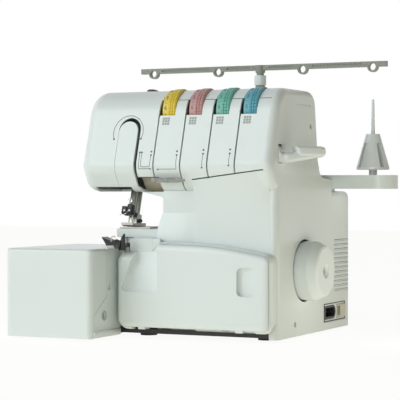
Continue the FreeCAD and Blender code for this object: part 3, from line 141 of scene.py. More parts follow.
painted = 0
for node in nodes.values():
    for slot in node.material_slots:
        slot.material = slot_finishes[base_name(slot.material)]
        painted += 1
# The moving blade is blackened, unlike the other steel parts.
nodes["upper_knife"].material_slots[0].material = clamp_black
print("CAD slots painted:", painted)

# %% [markdown]
# The small hardware is modelled as by hand: a primitive goes in at its size and place, faces
# are picked in code by where they lie, and edit-mode operators shape them. These helpers keep
# the later cells short. Operators act on everything selected, so each helper first makes its
# piece the only selected object.

# %% Modelling helpers
mm = 0.001
# A face counts as facing an axis from the first share of its normal, and as edge on to it below
# the second.
square_on = 0.9
edge_on = 0.1
# Edges that turn by less than this are shaded smooth.
smooth_below = math.radians(35)
# Turns that lay a rod along an axis.
along_x = (0, math.pi / 2, 0)
along_y = (math.pi / 2, 0, 0)


def only(piece):
    """Make this the one selected object."""
    bpy.ops.object.select_all(action="DESELECT")
    piece.select_set(True)
    bpy.context.view_layer.objects.active = piece


def block(name, low, high):
    """Start of a block-shaped piece: a cube stretched between two corners."""
    bpy.ops.object.select_all(action="DESELECT")
    bpy.ops.mesh.primitive_cube_add(size=1.0, location=(Vector(low) + Vector(high)) / 2)
    piece = bpy.context.object
    piece.name = name
    piece.scale = Vector(high) - Vector(low)
    bpy.ops.object.transform_apply(location=True, rotation=True, scale=True)
    return piece


def rod(name, middle, radius, length, sides=32, turn=(0, 0, 0)):
    """Start of a round piece: a cylinder about its own Z axis, which may then be turned."""
    bpy.ops.object.select_all(action="DESELECT")
    bpy.ops.mesh.primitive_cylinder_add(vertices=sides, radius=radius, depth=length,
                                        location=middle, rotation=turn)
    piece = bpy.context.object
    piece.name = name
    bpy.ops.object.transform_apply(location=True, rotation=True, scale=True)
    return piece


def round_edges(piece, width, segments=2, sharper_than=40.0):
    """Round the sharp edges of a piece with an applied bevel."""
    only(piece)
    bevel = piece.modifiers.new("round", "BEVEL")
    bevel.width = width
    bevel.segments = segments
    bevel.limit_method = "ANGLE"
    bevel.angle_limit = math.radians(sharper_than)
    bpy.ops.object.modifier_apply(modifier=bevel.name)


def pick_faces(piece, test):
    """Enter edit mode with just the faces whose centre and normal pass the test selected."""
    only(piece)
    bpy.ops.object.mode_set(mode="EDIT")
    bpy.ops.mesh.select_mode(type="FACE")
    bpy.ops.mesh.select_all(action="DESELECT")
    bpy.ops.object.mode_set(mode="OBJECT")
    for face in piece.data.polygons:
        face.select = test(face.center, face.normal)
    bpy.ops.object.mode_set(mode="EDIT")


def leave_edit():
    """Go back to object mode."""
    bpy.ops.object.mode_set(mode="OBJECT")


def cut_across(piece, places, along):
    """Cut a piece through by planes that face one axis."""
    only(piece)
    bpy.ops.object.mode_set(mode="EDIT")
    for place in places:
        bpy.ops.mesh.select_all(action="SELECT")
        bpy.ops.mesh.bisect(plane_co=place, plane_no=along)
    leave_edit()


def join(pieces, name):
    """Join several pieces into the first."""
    bpy.ops.object.select_all(action="DESELECT")
    for piece in pieces:
        piece.select_set(True)
    bpy.context.view_layer.objects.active = pieces[0]
    bpy.ops.object.join()
    pieces[0].name = name
    return pieces[0]


def hand_over(piece, paint, slot_name, body, *stands_for):
    """Smooth and paint a finished piece, and let it ride on its body in place of any named nodes."""
    only(piece)
    bpy.ops.object.transform_apply(location=True, rotation=True, scale=True)
    bpy.ops.object.shade_smooth_by_angle(angle=smooth_below)
    piece.data.materials.clear()
    piece.data.materials.append(paint)
    if stands_for:
        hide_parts(*stands_for)
    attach(piece, body)


def copy_beside(piece, name, shift):
    """Copy of a piece with its own mesh, moved along."""
    twin = piece.copy()
    twin.data = piece.data.copy()
    twin.name = name
    twin.data.transform(Matrix.Translation(shift))
    bpy.context.collection.objects.link(twin)
    return twin


print("helpers ready")

# %% [markdown]
# Each thread has a tension dial that a thumb rolls. On the real dial the left part is plain
# and carries numbers, and the rest is a waffle of small pads. A bump map would lose the pads
# at the dial's outline, so a cylinder is cut into columns and every grip face is inset and
# raised. The hole for the axle is made by insetting both ends, deleting their middles and
# bridging the two open loops. One dial is modelled, and the other three are copies.

# %% One tension dial
def open_middle(piece, axis, border):
    """Make a hole through a piece along an axis, leaving a border round it."""
    pick_faces(piece, lambda centre, normal: abs(normal[axis]) > square_on)
    bpy.ops.mesh.inset(thickness=border)
    bpy.ops.mesh.delete(type="FACE")
    bpy.ops.mesh.select_mode(type="EDGE")
    bpy.ops.mesh.select_non_manifold(extend=False)
    bpy.ops.mesh.bridge_edge_loops()
    leave_edit()


dial_low, dial_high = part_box("tension_dial_1")
dial_middle = (dial_low + dial_high) / 2
dial_width = dial_high.x - dial_low.x
dial_radius = (dial_high.z - dial_low.z) / 2
pad_height = 0.9 * mm
pad_gap = 0.5 * mm
pads_around = 48
grip_columns = 3
grip_left = dial_low.x + 0.42 * dial_width
axle_radius = 4.2 * mm
rim_round = 0.6 * mm
band_radius = dial_radius - pad_height

dial = rod("dial_1_wheel", dial_middle, band_radius, dial_width, pads_around, along_x)
open_middle(dial, 0, band_radius - axle_radius)
round_edges(dial, rim_round)
column_width = (dial_high.x - rim_round - grip_left) / grip_columns
columns = [grip_left + column_width * step for step in range(grip_columns)]
cut_across(dial, [(x, 0, 0) for x in columns], (1, 0, 0))


def on_grip(centre, normal):
    """True for a face round the outside of the dial, right of the numbers."""
    outside = (centre - dial_middle).length > 0.8 * dial_radius
    return abs(normal.x) < edge_on and centre.x > grip_left and outside


pick_faces(dial, on_grip)
bpy.ops.mesh.inset(thickness=pad_gap, use_individual=True)
bpy.ops.transform.shrink_fatten(value=pad_height)
leave_edit()
print("dial faces:", len(dial.data.polygons))

# %% [markdown]
# Plain numbers run round the dial's smooth band with a dash at each half step. Text is made
# a mesh, turned about the dial's axle to its place, and joined into one piece per dial.

# %% Numbers on the dial
band_x = dial_low.x + 0.22 * dial_width
half_steps = 19
half_step = math.radians(14)
# The half step that faces the thumb, and its turn from straight up towards the front.
front_step = 9
front_turn = math.radians(38)
first_turn = front_turn - front_step * half_step
number_size = 6.4 * mm
ink_depth = 0.09 * mm


def dial_mark(text, turn):
    """One number or dash, lying on the band at a turn from straight up towards the front."""
    bpy.ops.object.select_all(action="DESELECT")
    bpy.ops.object.text_add()
    mark = bpy.context.object
    mark.data.body = text
    mark.data.size = number_size
    mark.data.align_x = "CENTER"
    mark.data.align_y = "CENTER"
    mark.data.extrude = ink_depth
    bpy.ops.object.convert(target="MESH")
    mark = bpy.context.object
    mark.rotation_euler = (turn, 0, 0)
    outward = Vector((0, -math.sin(turn), math.cos(turn)))
    mark.location = Vector((band_x, dial_middle.y, dial_middle.z)) + outward * band_radius
    only(mark)
    bpy.ops.object.transform_apply(location=True, rotation=True, scale=True)
    return mark


marks = []
for step in range(half_steps):
    text = "-" if step % 2 else str(step // 2)
    marks.append(dial_mark(text, first_turn + step * half_step))
numbers = join(marks, "dial_1_numbers")
print("number faces:", len(numbers.data.polygons))

# %% [markdown]
# The four dials stand side by side, each in the colour of its thread. The first dial and its
# numbers are copied to the places of the other three. Linked copies would share one mesh, but
# each dial turns on its own and has its own paint, so every copy gets a mesh of its own.

# %% Four dials in thread colours
print_grey = finish("print_grey", (0.11, 0.11, 0.115), 0.5, drift=0.1)
dial_slots = ("yellow_dial", "pink_dial", "green_dial", "blue_dial")
for index, slot_name in enumerate(dial_slots):
    node = "tension_dial_%d" % (index + 1)
    body = "dial_%d" % (index + 1)
    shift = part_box(node)[0] - dial_low
    wheel = dial
    digits = numbers
    if index:
        wheel = copy_beside(dial, body + "_wheel", shift)
        digits = copy_beside(numbers, body + "_numbers", shift)
    hand_over(wheel, dial_finishes[index], slot_name, body, node)
    hand_over(digits, print_grey, "dark_plastic", body)
print("dials:", len(dial_slots))

# %% [markdown]
# Thin printed lines on the head show the way of each thread. They lie on the head's front,
# which leans back 17 degrees and rolls under at the bottom. Lines could be projected on the
# solid, but a small formula for the face is easier to read. A decal would need an image, so
# each line is a curve with a round bevel that is made a mesh and stays sharp.

# %% Where the leaning face is
lean = math.radians(17)
roll_radius = 17.0 * mm
roll_top = Vector((0, -89.3, 185.2)) * mm
roll_centre = roll_top + roll_radius * Vector((0, math.cos(lean), -math.sin(lean)))
face_turn = (math.pi / 2 - lean, 0, 0)


def face_place(x, height, proud=0.0):
    """Point on the head's front face at a height above the table, with its distance off it."""
    if height > roll_top.z:
        surface = Vector((x, roll_top.y + (height - roll_top.z) * math.tan(lean), height))
        outward = Vector((0, -math.cos(lean), math.sin(lean)))
    else:
        drop = roll_centre.z - height
        surface = Vector((x, roll_centre.y - math.sqrt(roll_radius ** 2 - drop ** 2), height))
        outward = Vector((0, surface.y - roll_centre.y, -drop)).normalized()
    return surface + outward * proud


def along_face(places, step=1.5 * mm):
    """Places on a bent line, filled in closely enough to follow the face where it rolls under."""
    filled = [places[0]]
    for start, end in zip(places, places[1:]):
        parts = max(1, round(math.dist(start, end) / step))
        for part in range(1, parts + 1):
            share = part / parts
            x = start[0] + (end[0] - start[0]) * share
            height = start[1] + (end[1] - start[1]) * share
            filled.append((x, height))
    return filled


def wire(name, places, radius, kind="NURBS", roundness=3):
    """Round wire through places, smooth between them or straight as kind POLY, made a mesh."""
    curve = bpy.data.curves.new(name, "CURVE")
    curve.dimensions = "3D"
    curve.bevel_depth = radius
    curve.bevel_resolution = roundness
    curve.use_fill_caps = True
    spline = curve.splines.new(kind)
    spline.points.add(len(places) - 1)
    for point, place in zip(spline.points, places):
        point.co = (*place, 1)
    spline.use_endpoint_u = True
    piece = bpy.data.objects.new(name, curve)
    bpy.context.collection.objects.link(piece)
    only(piece)
    bpy.ops.object.convert(target="MESH")
    return bpy.context.object


def print_line(places, width=0.75 * mm):
    """Printed line through places on the face, sunk until only a thin layer of ink shows."""
    sunk = [face_place(x, height, -0.2 * width) for x, height in along_face(places)]
    return wire("line", sunk, width / 2, "POLY", 1)


def print_spot(x, height, radius=1.1 * mm):
    """Round printed spot at the end of a line, a short rod sunk into the face."""
    spot = rod("spot", face_place(x, height, -0.3 * mm), radius, 0.8 * mm, 16, face_turn)
    round_edges(spot, 0.1 * mm)
    return spot


print("face rolls under below", round(roll_top.z, 4), "m")

# %% [markdown]
# An arc runs over the take-up arch, and bent lines lead from the dials towards the guide
# below. Every line has a round spot at both ends, and one more spot stands above each of the
# dials' lines. All the ink is joined into one piece, because it never moves apart.

# %% Printed thread paths
arch_x = -60.0 * mm
arch_half = 17.5 * mm
arch_spring = 215.5 * mm
arc_parts = 16
# Degrees round from the right.
arc_start = -24
arc_sweep = 228
arc = []
for step in range(arc_parts + 1):
    angle = math.radians(arc_start + arc_sweep * step / arc_parts)
    arc.append((arch_x + arch_half * math.cos(angle), arch_spring + arch_half * math.sin(angle)))
# Places across the head's front and their heights, in millimetres.
bent_lines = [
    [(-42.8, 194), (-42.8, 177), (-29.5, 177)],
    [(-40.4, 194), (-40.4, 179), (-30.2, 179), (-29.4, 191)],
    [(0.3, 191), (0.6, 176.5), (-20.5, 176.5)],
    [(30.3, 192), (30.0, 178)],
    [(60.3, 192), (60.0, 180)],
]
upper_spots = [(-29.5, 194.8), (0.2, 194.9), (30.2, 195.9), (60.2, 196.1)]
path_corners = [arc]
for corners in bent_lines:
    path_corners.append([(x * mm, height * mm) for x, height in corners])
printed = [print_line(places) for places in path_corners]
for places in path_corners:
    for x, height in (places[0], places[-1]):
        printed.append(print_spot(x, height))
for x, height in upper_spots:
    printed.append(print_spot(x * mm, height * mm))
paths = join(printed, "printed_thread_paths")
hand_over(paths, print_grey, "dark_plastic", "body")
print("printed path faces:", len(paths.data.polygons))

# %% [markdown]
# A small grey mark is printed under each dial. Here it is a plain grid of nine squares: a
# grid primitive whose faces are inset one by one, with the ribs between them deleted and the
# squares given a hair of depth, sunk into the face.

# %% Marks under the dials
mark_grey = finish("mark_grey", (0.36, 0.38, 0.37), 0.5, drift=0.08)
mark_size = 8.6 * mm
mark_height = 226.5 * mm
mark_left = 1.6 * mm
squares_across = 3
square_gap = 0.22 * mm
mark_proud = 0.03 * mm
into_face = (0, 0.09 * mm, -0.03 * mm)
bpy.ops.object.select_all(action="DESELECT")
mark_place = face_place(dial_middle.x - mark_left, mark_height, mark_proud)
bpy.ops.mesh.primitive_grid_add(x_subdivisions=squares_across, y_subdivisions=squares_across,
                                size=mark_size, location=mark_place, rotation=face_turn)
first_mark = bpy.context.object
first_mark.name = "dial_mark_1"
bpy.ops.object.transform_apply(location=True, rotation=True, scale=True)
pick_faces(first_mark, lambda centre, normal: True)
bpy.ops.mesh.inset(thickness=square_gap, use_individual=True)
bpy.ops.mesh.select_all(action="INVERT")
bpy.ops.mesh.delete(type="FACE")
bpy.ops.mesh.select_all(action="SELECT")
bpy.ops.mesh.extrude_region_move(TRANSFORM_OT_translate={"value": into_face})
bpy.ops.mesh.select_all(action="SELECT")
bpy.ops.mesh.normals_make_consistent(inside=False)
leave_edit()
for index in range(len(dial_slots)):
    mark = first_mark
    if index:
        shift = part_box("tension_dial_%d" % (index + 1))[0] - dial_low
        mark = copy_beside(first_mark, "dial_mark_%d" % (index + 1), shift)
    hand_over(mark, mark_grey, "grey_plastic", "body")
print("dial marks:", len(dial_slots))

# %% [markdown]
# Below the head, a folded plate with slots leads the needle threads to the take-up. The plate
# is a block with its right end drawn narrow, and each slot is a face that is inset and pushed
# in. A shelf behind it makes the fold.

# %% Thread guide
guide_metal = finish("guide_metal", (0.27, 0.275, 0.26), 0.5, metallic=0.3, grain=1300.0, drift=0.1)
guide_low, guide_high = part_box("thread_guide")
plate = 1.5 * mm
end_taper = 0.35
slot_border = 1.3 * mm
slot_depth = 1.1 * mm
flange_back = guide_low.y + plate
guide_left = guide_low.x + 14.5 * mm
guide_neck = guide_high.x - 9 * mm
flange = block("guide_flange", (guide_left, guide_low.y, guide_low.z),
               (guide_high.x, flange_back, guide_high.z))
slot_edges = [guide_neck - distance * mm for distance in (25, 15, 11, 2, 0)]
cut_across(flange, [(x, 0, 0) for x in slot_edges], (1, 0, 0))
pick_faces(flange, lambda centre, normal: normal.x > square_on)
bpy.ops.transform.resize(value=(1, 1, end_taper))
leave_edit()


def guide_slot(centre, normal):
    """True for the front faces that become slots."""
    in_first = slot_edges[0] < centre.x < slot_edges[1]
    in_second = slot_edges[2] < centre.x < slot_edges[3]
    return normal.y < -square_on and (in_first or in_second)


pick_faces(flange, guide_slot)
bpy.ops.mesh.inset(thickness=slot_border, use_individual=True)
bpy.ops.transform.translate(value=(0, slot_depth, 0))
leave_edit()
round_edges(flange, 0.3 * mm)
shelf = block("guide_shelf", (guide_left, flange_back, guide_high.z - plate),
              (guide_neck, guide_high.y, guide_high.z))
round_edges(shelf, 0.3 * mm)
guide = join([flange, shelf], "needle_thread_guide")
hand_over(guide, guide_metal, "steel", "body", "thread_guide")
print("guide faces:", len(guide.data.polygons))

# %% [markdown]
# Screws repeat over the machine: a round head with a softened rim and a straight slot. The
# slot is a strip of the top face that is drawn down. One function makes them all about the
# Z axis and then turns them to face their way.

# %% Slotted screw heads
def screw_head(name, middle, facing, radius, depth):
    """Slotted screw head whose top faces the given way."""
    rim = 0.18 * radius
    slot_half = 0.16 * radius
    slot_floor = 0.5 * depth
    head = rod(name, (0, 0, depth / 2), radius, depth, 28)
    pick_faces(head, lambda centre, normal: normal.z > square_on)
    bpy.ops.mesh.inset(thickness=rim)
    leave_edit()
    cut_across(head, [(0, slot_half, 0), (0, -slot_half, 0)], (0, 1, 0))

    def in_slot(centre, normal):
        """True for the strip of the top face that becomes the slot."""
        return normal.z > square_on and abs(centre.y) < slot_half and abs(centre.x) < 0.5 * radius

    pick_faces(head, in_slot)
    bpy.ops.mesh.extrude_region_move(TRANSFORM_OT_translate={"value": (0, 0, -slot_floor)})
    leave_edit()
    round_edges(head, 0.12 * radius)
    head.rotation_euler = Vector(facing).to_track_quat("Z", "X").to_euler()
    head.location = middle
    only(head)
    bpy.ops.object.transform_apply(location=True, rotation=True, scale=True)
    return head


bright_steel = finish("bright_steel", (0.60, 0.60, 0.58), 0.24, metallic=1.0, grain=1600.0, drift=0.06)
outward = Vector((0, -math.cos(lean), math.sin(lean)))
screw_low, screw_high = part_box("clamp_screw")
screw_middle = (screw_low + screw_high) / 2
clamp_screw = screw_head("needle_bar_screw", screw_middle - outward * 1.6 * mm, outward,
                         radius=2.6 * mm, depth=3.4 * mm)
hand_over(clamp_screw, bright_steel, "steel", "needle_drive", "clamp_screw")
print("screw faces:", len(clamp_screw.data.polygons))

# %% [markdown]
# The needles are held by a black clamp of two blocks beside each other, with a small set
# screw in the front of each. The blocks are made upright about the needle bar and then leaned
# back with it.

# %% Needle clamp
clamp_low, clamp_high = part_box("needle_clamp")
bar_low, bar_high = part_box("needle_bar")
bar_x = (bar_low.x + bar_high.x) / 2
clamp_middle = (clamp_low + clamp_high) / 2


def lean_back(piece, about):
    """Turn an upright piece about the X axis through a point, as the needle bar leans."""
    only(piece)
    turn = Matrix.Rotation(-lean, 4, "X")
    piece.data.transform(Matrix.Translation(about) @ turn @ Matrix.Translation(-about))


def clamp_block(name, left, right, low, high):
    """One black block of the clamp, its front face set in a little."""
    half_depth = 5.4 * mm
    rim = 0.8 * mm
    front_sink = 0.5 * mm
    piece = block(name, (left, clamp_middle.y - half_depth, low),
                  (right, clamp_middle.y + half_depth, high))
    pick_faces(piece, lambda centre, normal: normal.y < -square_on)
    bpy.ops.mesh.inset(thickness=rim)
    bpy.ops.transform.translate(value=(0, front_sink, 0))
    leave_edit()
    round_edges(piece, 0.7 * mm)
    lean_back(piece, clamp_middle)
    return piece


block_gap = 0.25 * mm
block_split = bar_x - 2.4 * mm
clamp_half_height = 5.4 * mm
left_block = clamp_block("left_block", clamp_low.x, block_split - block_gap,
                         clamp_middle.z - clamp_half_height, clamp_middle.z + 0.55 * clamp_half_height)
right_block = clamp_block("right_block", block_split + block_gap, clamp_high.x,
                          clamp_middle.z - clamp_half_height, clamp_middle.z + clamp_half_height)
clamp = join([left_block, right_block], "needle_clamp_blocks")
hand_over(clamp, clamp_black, "black_metal", "needle_drive", "needle_clamp")
set_screws = []
for x in ((clamp_low.x + block_split) / 2, (block_split + clamp_high.x) / 2):
    front = Vector((x, clamp_middle.y, clamp_middle.z - 2 * mm)) + outward * 4.6 * mm
    set_screws.append(screw_head("set_screw", front, outward, radius=1.2 * mm, depth=1.0 * mm))
needle_screws = join(set_screws, "needle_set_screws")
hand_over(needle_screws, ground_steel, "steel", "needle_drive")
print("clamp faces:", len(clamp.data.polygons))

# %% [markdown]
# A thin bent wire on the clamp guides the needle threads. It is a curve with a round bevel, as
# the printed lines are, but smooth between its places, because a wire bends in a curve.

# %% Needle guide wire
wire_z = clamp_low.z + 2.4 * mm
wire_y = clamp_low.y + 0.4 * mm
guide_wire = wire("needle_guide_wire", [
    (bar_x - 1 * mm, wire_y + 3 * mm, wire_z + 5 * mm),
    (bar_x - 1 * mm, wire_y, wire_z + 0.5 * mm),
    (bar_x - 6 * mm, wire_y - 1 * mm, wire_z),
    (clamp_low.x, wire_y - 1 * mm, wire_z + 0.6 * mm),
    (clamp_low.x - 0.6 * mm, wire_y, wire_z - 0.6 * mm),
], 0.35 * mm)
hand_over(guide_wire, bright_steel, "steel", "needle_drive")
print("wire faces:", len(guide_wire.data.polygons))

# %% [markdown]
# The presser foot snaps onto its shank, and a small black button behind the shank lets it go.
# The solid has the sole and shank, and this adds the button on its stub, with a domed end.

# %% Foot release button
foot_low, foot_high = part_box("presser_foot")
button_middle = Vector((bar_x + 5.2 * mm, foot_high.y - 11 * mm, foot_low.z + 5.6 * mm))
button_radius = 2.0 * mm
button_length = 4.4 * mm
button_dome = 0.6 * mm
button = rod("foot_button", button_middle, button_radius, button_length, 28, along_x)
pick_faces(button, lambda centre, normal: normal.x > square_on)
bpy.ops.mesh.inset(thickness=0.7 * mm)
bpy.ops.transform.translate(value=(button_dome, 0, 0))
leave_edit()
round_edges(button, 0.5 * mm)
hand_over(button, clamp_black, "black_metal", "presser")
print("button faces:", len(button.data.polygons))

# %% [markdown]
# The moving knife hangs on a steel lever that comes up from inside the bed. The lever is drawn
# out face by face from one small block, so that its bends stay one skin, and it is joined with
# the round hub that it swings on.

# %% Knife lever
knife_low, knife_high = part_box("knife_arm")
hub_radius = 9 * mm
hub_middle = Vector((0, knife_high.y - hub_radius, knife_low.z + hub_radius))
lever_left = knife_low.x + 9.5 * mm
lever_right = lever_left + 7 * mm
tongue_low = knife_high.z - 12 * mm
tongue_high = tongue_low + 4 * mm
tongue_front = knife_low.y + 12 * mm
riser_front = tongue_front + 15 * mm
riser_back = riser_front + 9 * mm
riser_low = hub_middle.z + 8 * mm
elbow = hub_middle.z + 16 * mm
root_spread = 1.5
hub_waist = 0.85

lever = block("knife_lever_arm", (lever_left, tongue_front, tongue_low),
              (lever_right, riser_back, tongue_high))
cut_across(lever, [(0, riser_front, 0)], (0, 1, 0))
pick_faces(lever, lambda centre, normal: normal.z < -square_on and centre.y > riser_front)
bpy.ops.mesh.extrude_region_move(TRANSFORM_OT_translate={"value": (0, 0, riser_low - tongue_low)})
leave_edit()
cut_across(lever, [(0, 0, elbow)], (0, 0, 1))
pick_faces(lever, lambda centre, normal: normal.y > square_on and centre.z < elbow)
reach = hub_middle.y - riser_back
fall = hub_middle.z - (riser_low + elbow) / 2
bpy.ops.mesh.extrude_region_move(TRANSFORM_OT_translate={"value": (0, reach, fall)})
bpy.ops.transform.resize(value=(1, 1, root_spread))
leave_edit()
round_edges(lever, 0.8 * mm)
hub_place = Vector(((lever_left + lever_right) / 2, hub_middle.y, hub_middle.z))
hub = rod("knife_hub", hub_place, hub_radius, lever_right - lever_left, 40, along_x)
pick_faces(hub, lambda centre, normal: abs(normal.x) > square_on)
bpy.ops.mesh.inset(thickness=3 * mm)
bpy.ops.transform.resize(value=(hub_waist, 1, 1))
leave_edit()
round_edges(hub, 0.6 * mm)
lever = join([lever, hub], "knife_lever_arm")
hand_over(lever, ground_steel, "steel", "knife_lever", "knife_arm")
print("lever faces:", len(lever.data.polygons))

# %% [markdown]
# In front the lever ends in a black holder: a wedge on the left, with a lower step beside the
# blade. It is a block cut across once. Its lower left edge is slid in and its right top is let
# down, so here points are picked in code, as faces were, and then moved.

# %% Knife holder
def pick_points(piece, test):
    """Enter edit mode with just the points that pass the test selected."""
    only(piece)
    bpy.ops.object.mode_set(mode="EDIT")
    bpy.ops.mesh.select_mode(type="VERT")
    bpy.ops.mesh.select_all(action="DESELECT")
    bpy.ops.object.mode_set(mode="OBJECT")
    for point in piece.data.vertices:
        point.select = test(point.co)
    bpy.ops.object.mode_set(mode="EDIT")


holder_left = knife_low.x - 2.5 * mm
holder_step = knife_low.x + 7 * mm
holder_top = knife_high.z - 1.2 * mm
wedge_slant = 7 * mm
step_drop = 3.5 * mm
front_rim = 1.6 * mm
front_sink = 0.9 * mm
holder = block("knife_holder", (holder_left, knife_low.y, tongue_low),
               (knife_high.x - 1 * mm, tongue_front + 1 * mm, holder_top))
cut_across(holder, [(holder_step, 0, 0)], (1, 0, 0))
pick_points(holder, lambda place: place.x < holder_left + mm and place.z < tongue_low + mm)
bpy.ops.transform.translate(value=(wedge_slant, 0, 0))
leave_edit()
pick_points(holder, lambda place: place.x > holder_step - mm and place.z > holder_top - mm)
bpy.ops.transform.translate(value=(0, 0, -step_drop))
leave_edit()
pick_faces(holder, lambda centre, normal: normal.y < -square_on and centre.x < holder_step)
bpy.ops.mesh.inset(thickness=front_rim)
bpy.ops.transform.translate(value=(0, front_sink, 0))
leave_edit()
round_edges(holder, 0.6 * mm)
hand_over(holder, clamp_black, "black_metal", "knife_lever")
print("holder faces:", len(holder.data.polygons))

# %% [markdown]
# A thumb knob, a bent wire and a thin steel bar sit on the front of the holder. The knob is a
# short rod stretched upright with a sunk face, the wire is a curve like the one on the needle
# clamp, and the bar is a block that tapers to its left end.

# %% Knife knob, wire and bar
knob_middle = Vector((knife_high.x - 1.2 * mm, knife_low.y - 1.2 * mm, knife_high.z - 8.4 * mm))
knob_radius = 3.6 * mm
knob_length = 3.2 * mm
knob_stretch = 1.4
knob_sink = 0.5 * mm
knob = rod("knife_knob", knob_middle, knob_radius, knob_length, 36, along_y)
pick_points(knob, lambda place: True)
bpy.ops.transform.resize(value=(1, 1, knob_stretch), center_override=knob_middle)
leave_edit()
pick_faces(knob, lambda centre, normal: normal.y < -square_on)
bpy.ops.mesh.inset(thickness=0.8 * mm)
bpy.ops.transform.translate(value=(0, knob_sink, 0))
leave_edit()
round_edges(knob, 0.7 * mm)
hand_over(knob, clamp_black, "black_metal", "knife_lever")

hook_x = knife_high.x - 4.5 * mm
hook_y = knife_low.y - 0.4 * mm
hook = wire("knife_wire", [
    (hook_x - 4 * mm, hook_y + 1 * mm, holder_top - 5 * mm),
    (hook_x - 4 * mm, hook_y, holder_top - 0.5 * mm),
    (hook_x - 1.5 * mm, hook_y, holder_top + 1.8 * mm),
    (hook_x + 1.5 * mm, hook_y, holder_top + 0.8 * mm),
    (hook_x + 1.5 * mm, hook_y, holder_top - 2.5 * mm),
], 0.65 * mm)
hand_over(hook, bright_steel, "steel", "knife_lever")

knife_bar = block("knife_bar", (knife_low.x + 2 * mm, knife_low.y - 1.2 * mm, tongue_low + 0.2 * mm),
                  (knife_high.x - 4.6 * mm, knife_low.y + 0.4 * mm, tongue_low + 2 * mm))
bar_taper = 0.4
pick_faces(knife_bar, lambda centre, normal: normal.x < -square_on)
bpy.ops.transform.resize(value=(1, 1, bar_taper))
leave_edit()
round_edges(knife_bar, 0.35 * mm)
hand_over(knife_bar, ground_steel, "steel", "knife_lever")
print("knife knob, wire and bar made")

# %% [markdown]
# The bed ends in a smooth white lip under the needle plate. It is a block whose lower front
# edge is rolled under, and it covers the fixed knife. Right of the moving knife it is drawn
# further down, behind the looper cover's upright wall.

# %% Bed lip
bed_low, bed_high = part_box("bed_cover")
lip_depth = 4.8 * mm
lip_height = 9 * mm
lip_roll = 0.6 * mm
apron_drop = 4 * mm
lip = block("bed_lip", (bed_low.x, bed_low.y - lip_depth, bed_high.z - lip_height),
            (bed_high.x + 4 * mm, bed_low.y + 0.2 * mm, bed_high.z - 0.1 * mm))
pick_points(lip, lambda place: place.y < bed_low.y - mm and place.z < bed_high.z - 5 * mm)
bpy.ops.transform.translate(value=(0, lip_roll, 0))
leave_edit()
apron_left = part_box("upper_knife")[1].x + 1.5 * mm
cut_across(lip, [(apron_left, 0, 0)], (1, 0, 0))
pick_faces(lip, lambda centre, normal: normal.z < -square_on and centre.x > apron_left)
bpy.ops.mesh.extrude_region_move(TRANSFORM_OT_translate={"value": (0, 0, -apron_drop)})
leave_edit()
round_edges(lip, 1.2 * mm, 4)
hand_over(lip, cover_white, "body_plastic", "body")
print("lip faces:", len(lip.data.polygons))

# %% [markdown]
# Between the bed and the head the neck is hollowed: its face leans back as it rises from the
# bed, and forward again to meet the head. One block is cut across at the heights where the
# face turns, and the front points of each height are slid to their depth. The left edge
# follows the leaning edge of the neck.

# %% Neck face
neck_front = bed_low.y
column_front = neck_front - 6 * mm
column_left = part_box("column_front_panel")[0].x
head_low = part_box("head_under_cover")[0].z
neck_middle = bed_high.z + 17 * mm
# How far the front of the plain block stands out before its points are slid.
start_depth = 1 * mm
# A point counts as lying on a cut within this distance.
near = 0.1 * mm
# Height of each turn, with the depth of the front and the place of the left edge there.
neck_turns = [
    (bed_high.z - 23 * mm, column_front + 0.3 * mm, bed_high.x + 0.2 * mm),
    (bed_high.z + 0.5 * mm, neck_front - 4.5 * mm, bed_high.x + 2 * mm),
    (neck_middle, neck_front - 0.5 * mm, bed_high.x + 6.6 * mm),
    (head_low + 1.2 * mm, column_front + 0.1 * mm, bed_high.x + 10 * mm),
]
neck_face = block("neck_face", (bed_high.x, neck_front - start_depth, neck_turns[0][0]),
                  (column_left - 0.1 * mm, neck_front + 0.5 * mm, neck_turns[-1][0]))
cut_across(neck_face, [(0, 0, turn[0]) for turn in neck_turns[1:-1]], (0, 0, 1))
for height, depth, left in neck_turns:
    pick_points(neck_face, lambda place: abs(place.z - height) < near and place.y < neck_front)
    bpy.ops.transform.translate(value=(0, depth - neck_front + start_depth, 0))
    leave_edit()
    pick_points(neck_face, lambda place: abs(place.z - height) < near and place.x < bed_high.x + mm)
    bpy.ops.transform.translate(value=(left - bed_high.x, 0, 0))
    leave_edit()
round_edges(neck_face, 1.5 * mm, 3, 15.0)
hand_over(neck_face, cover_white, "body_plastic", "body")
print("neck face faces:", len(neck_face.data.polygons))

# %% [markdown]
# Right of the neck the column's face sweeps forward as it rises, up to the seam under the
# tension panels. It is made as the neck's face is: a block cut across at a few heights, whose
# front points are slid to their depth. Below the seam it fades out before the column's rounded
# right corner, and its top edge climbs with the seam.

# %% Column face
sweep_left = column_left + 0.1 * mm
sweep_right = column_left + 83 * mm
fade_start = sweep_right - 10 * mm
seam_low = head_low + 11.7 * mm
seam_slope = 11 / 91
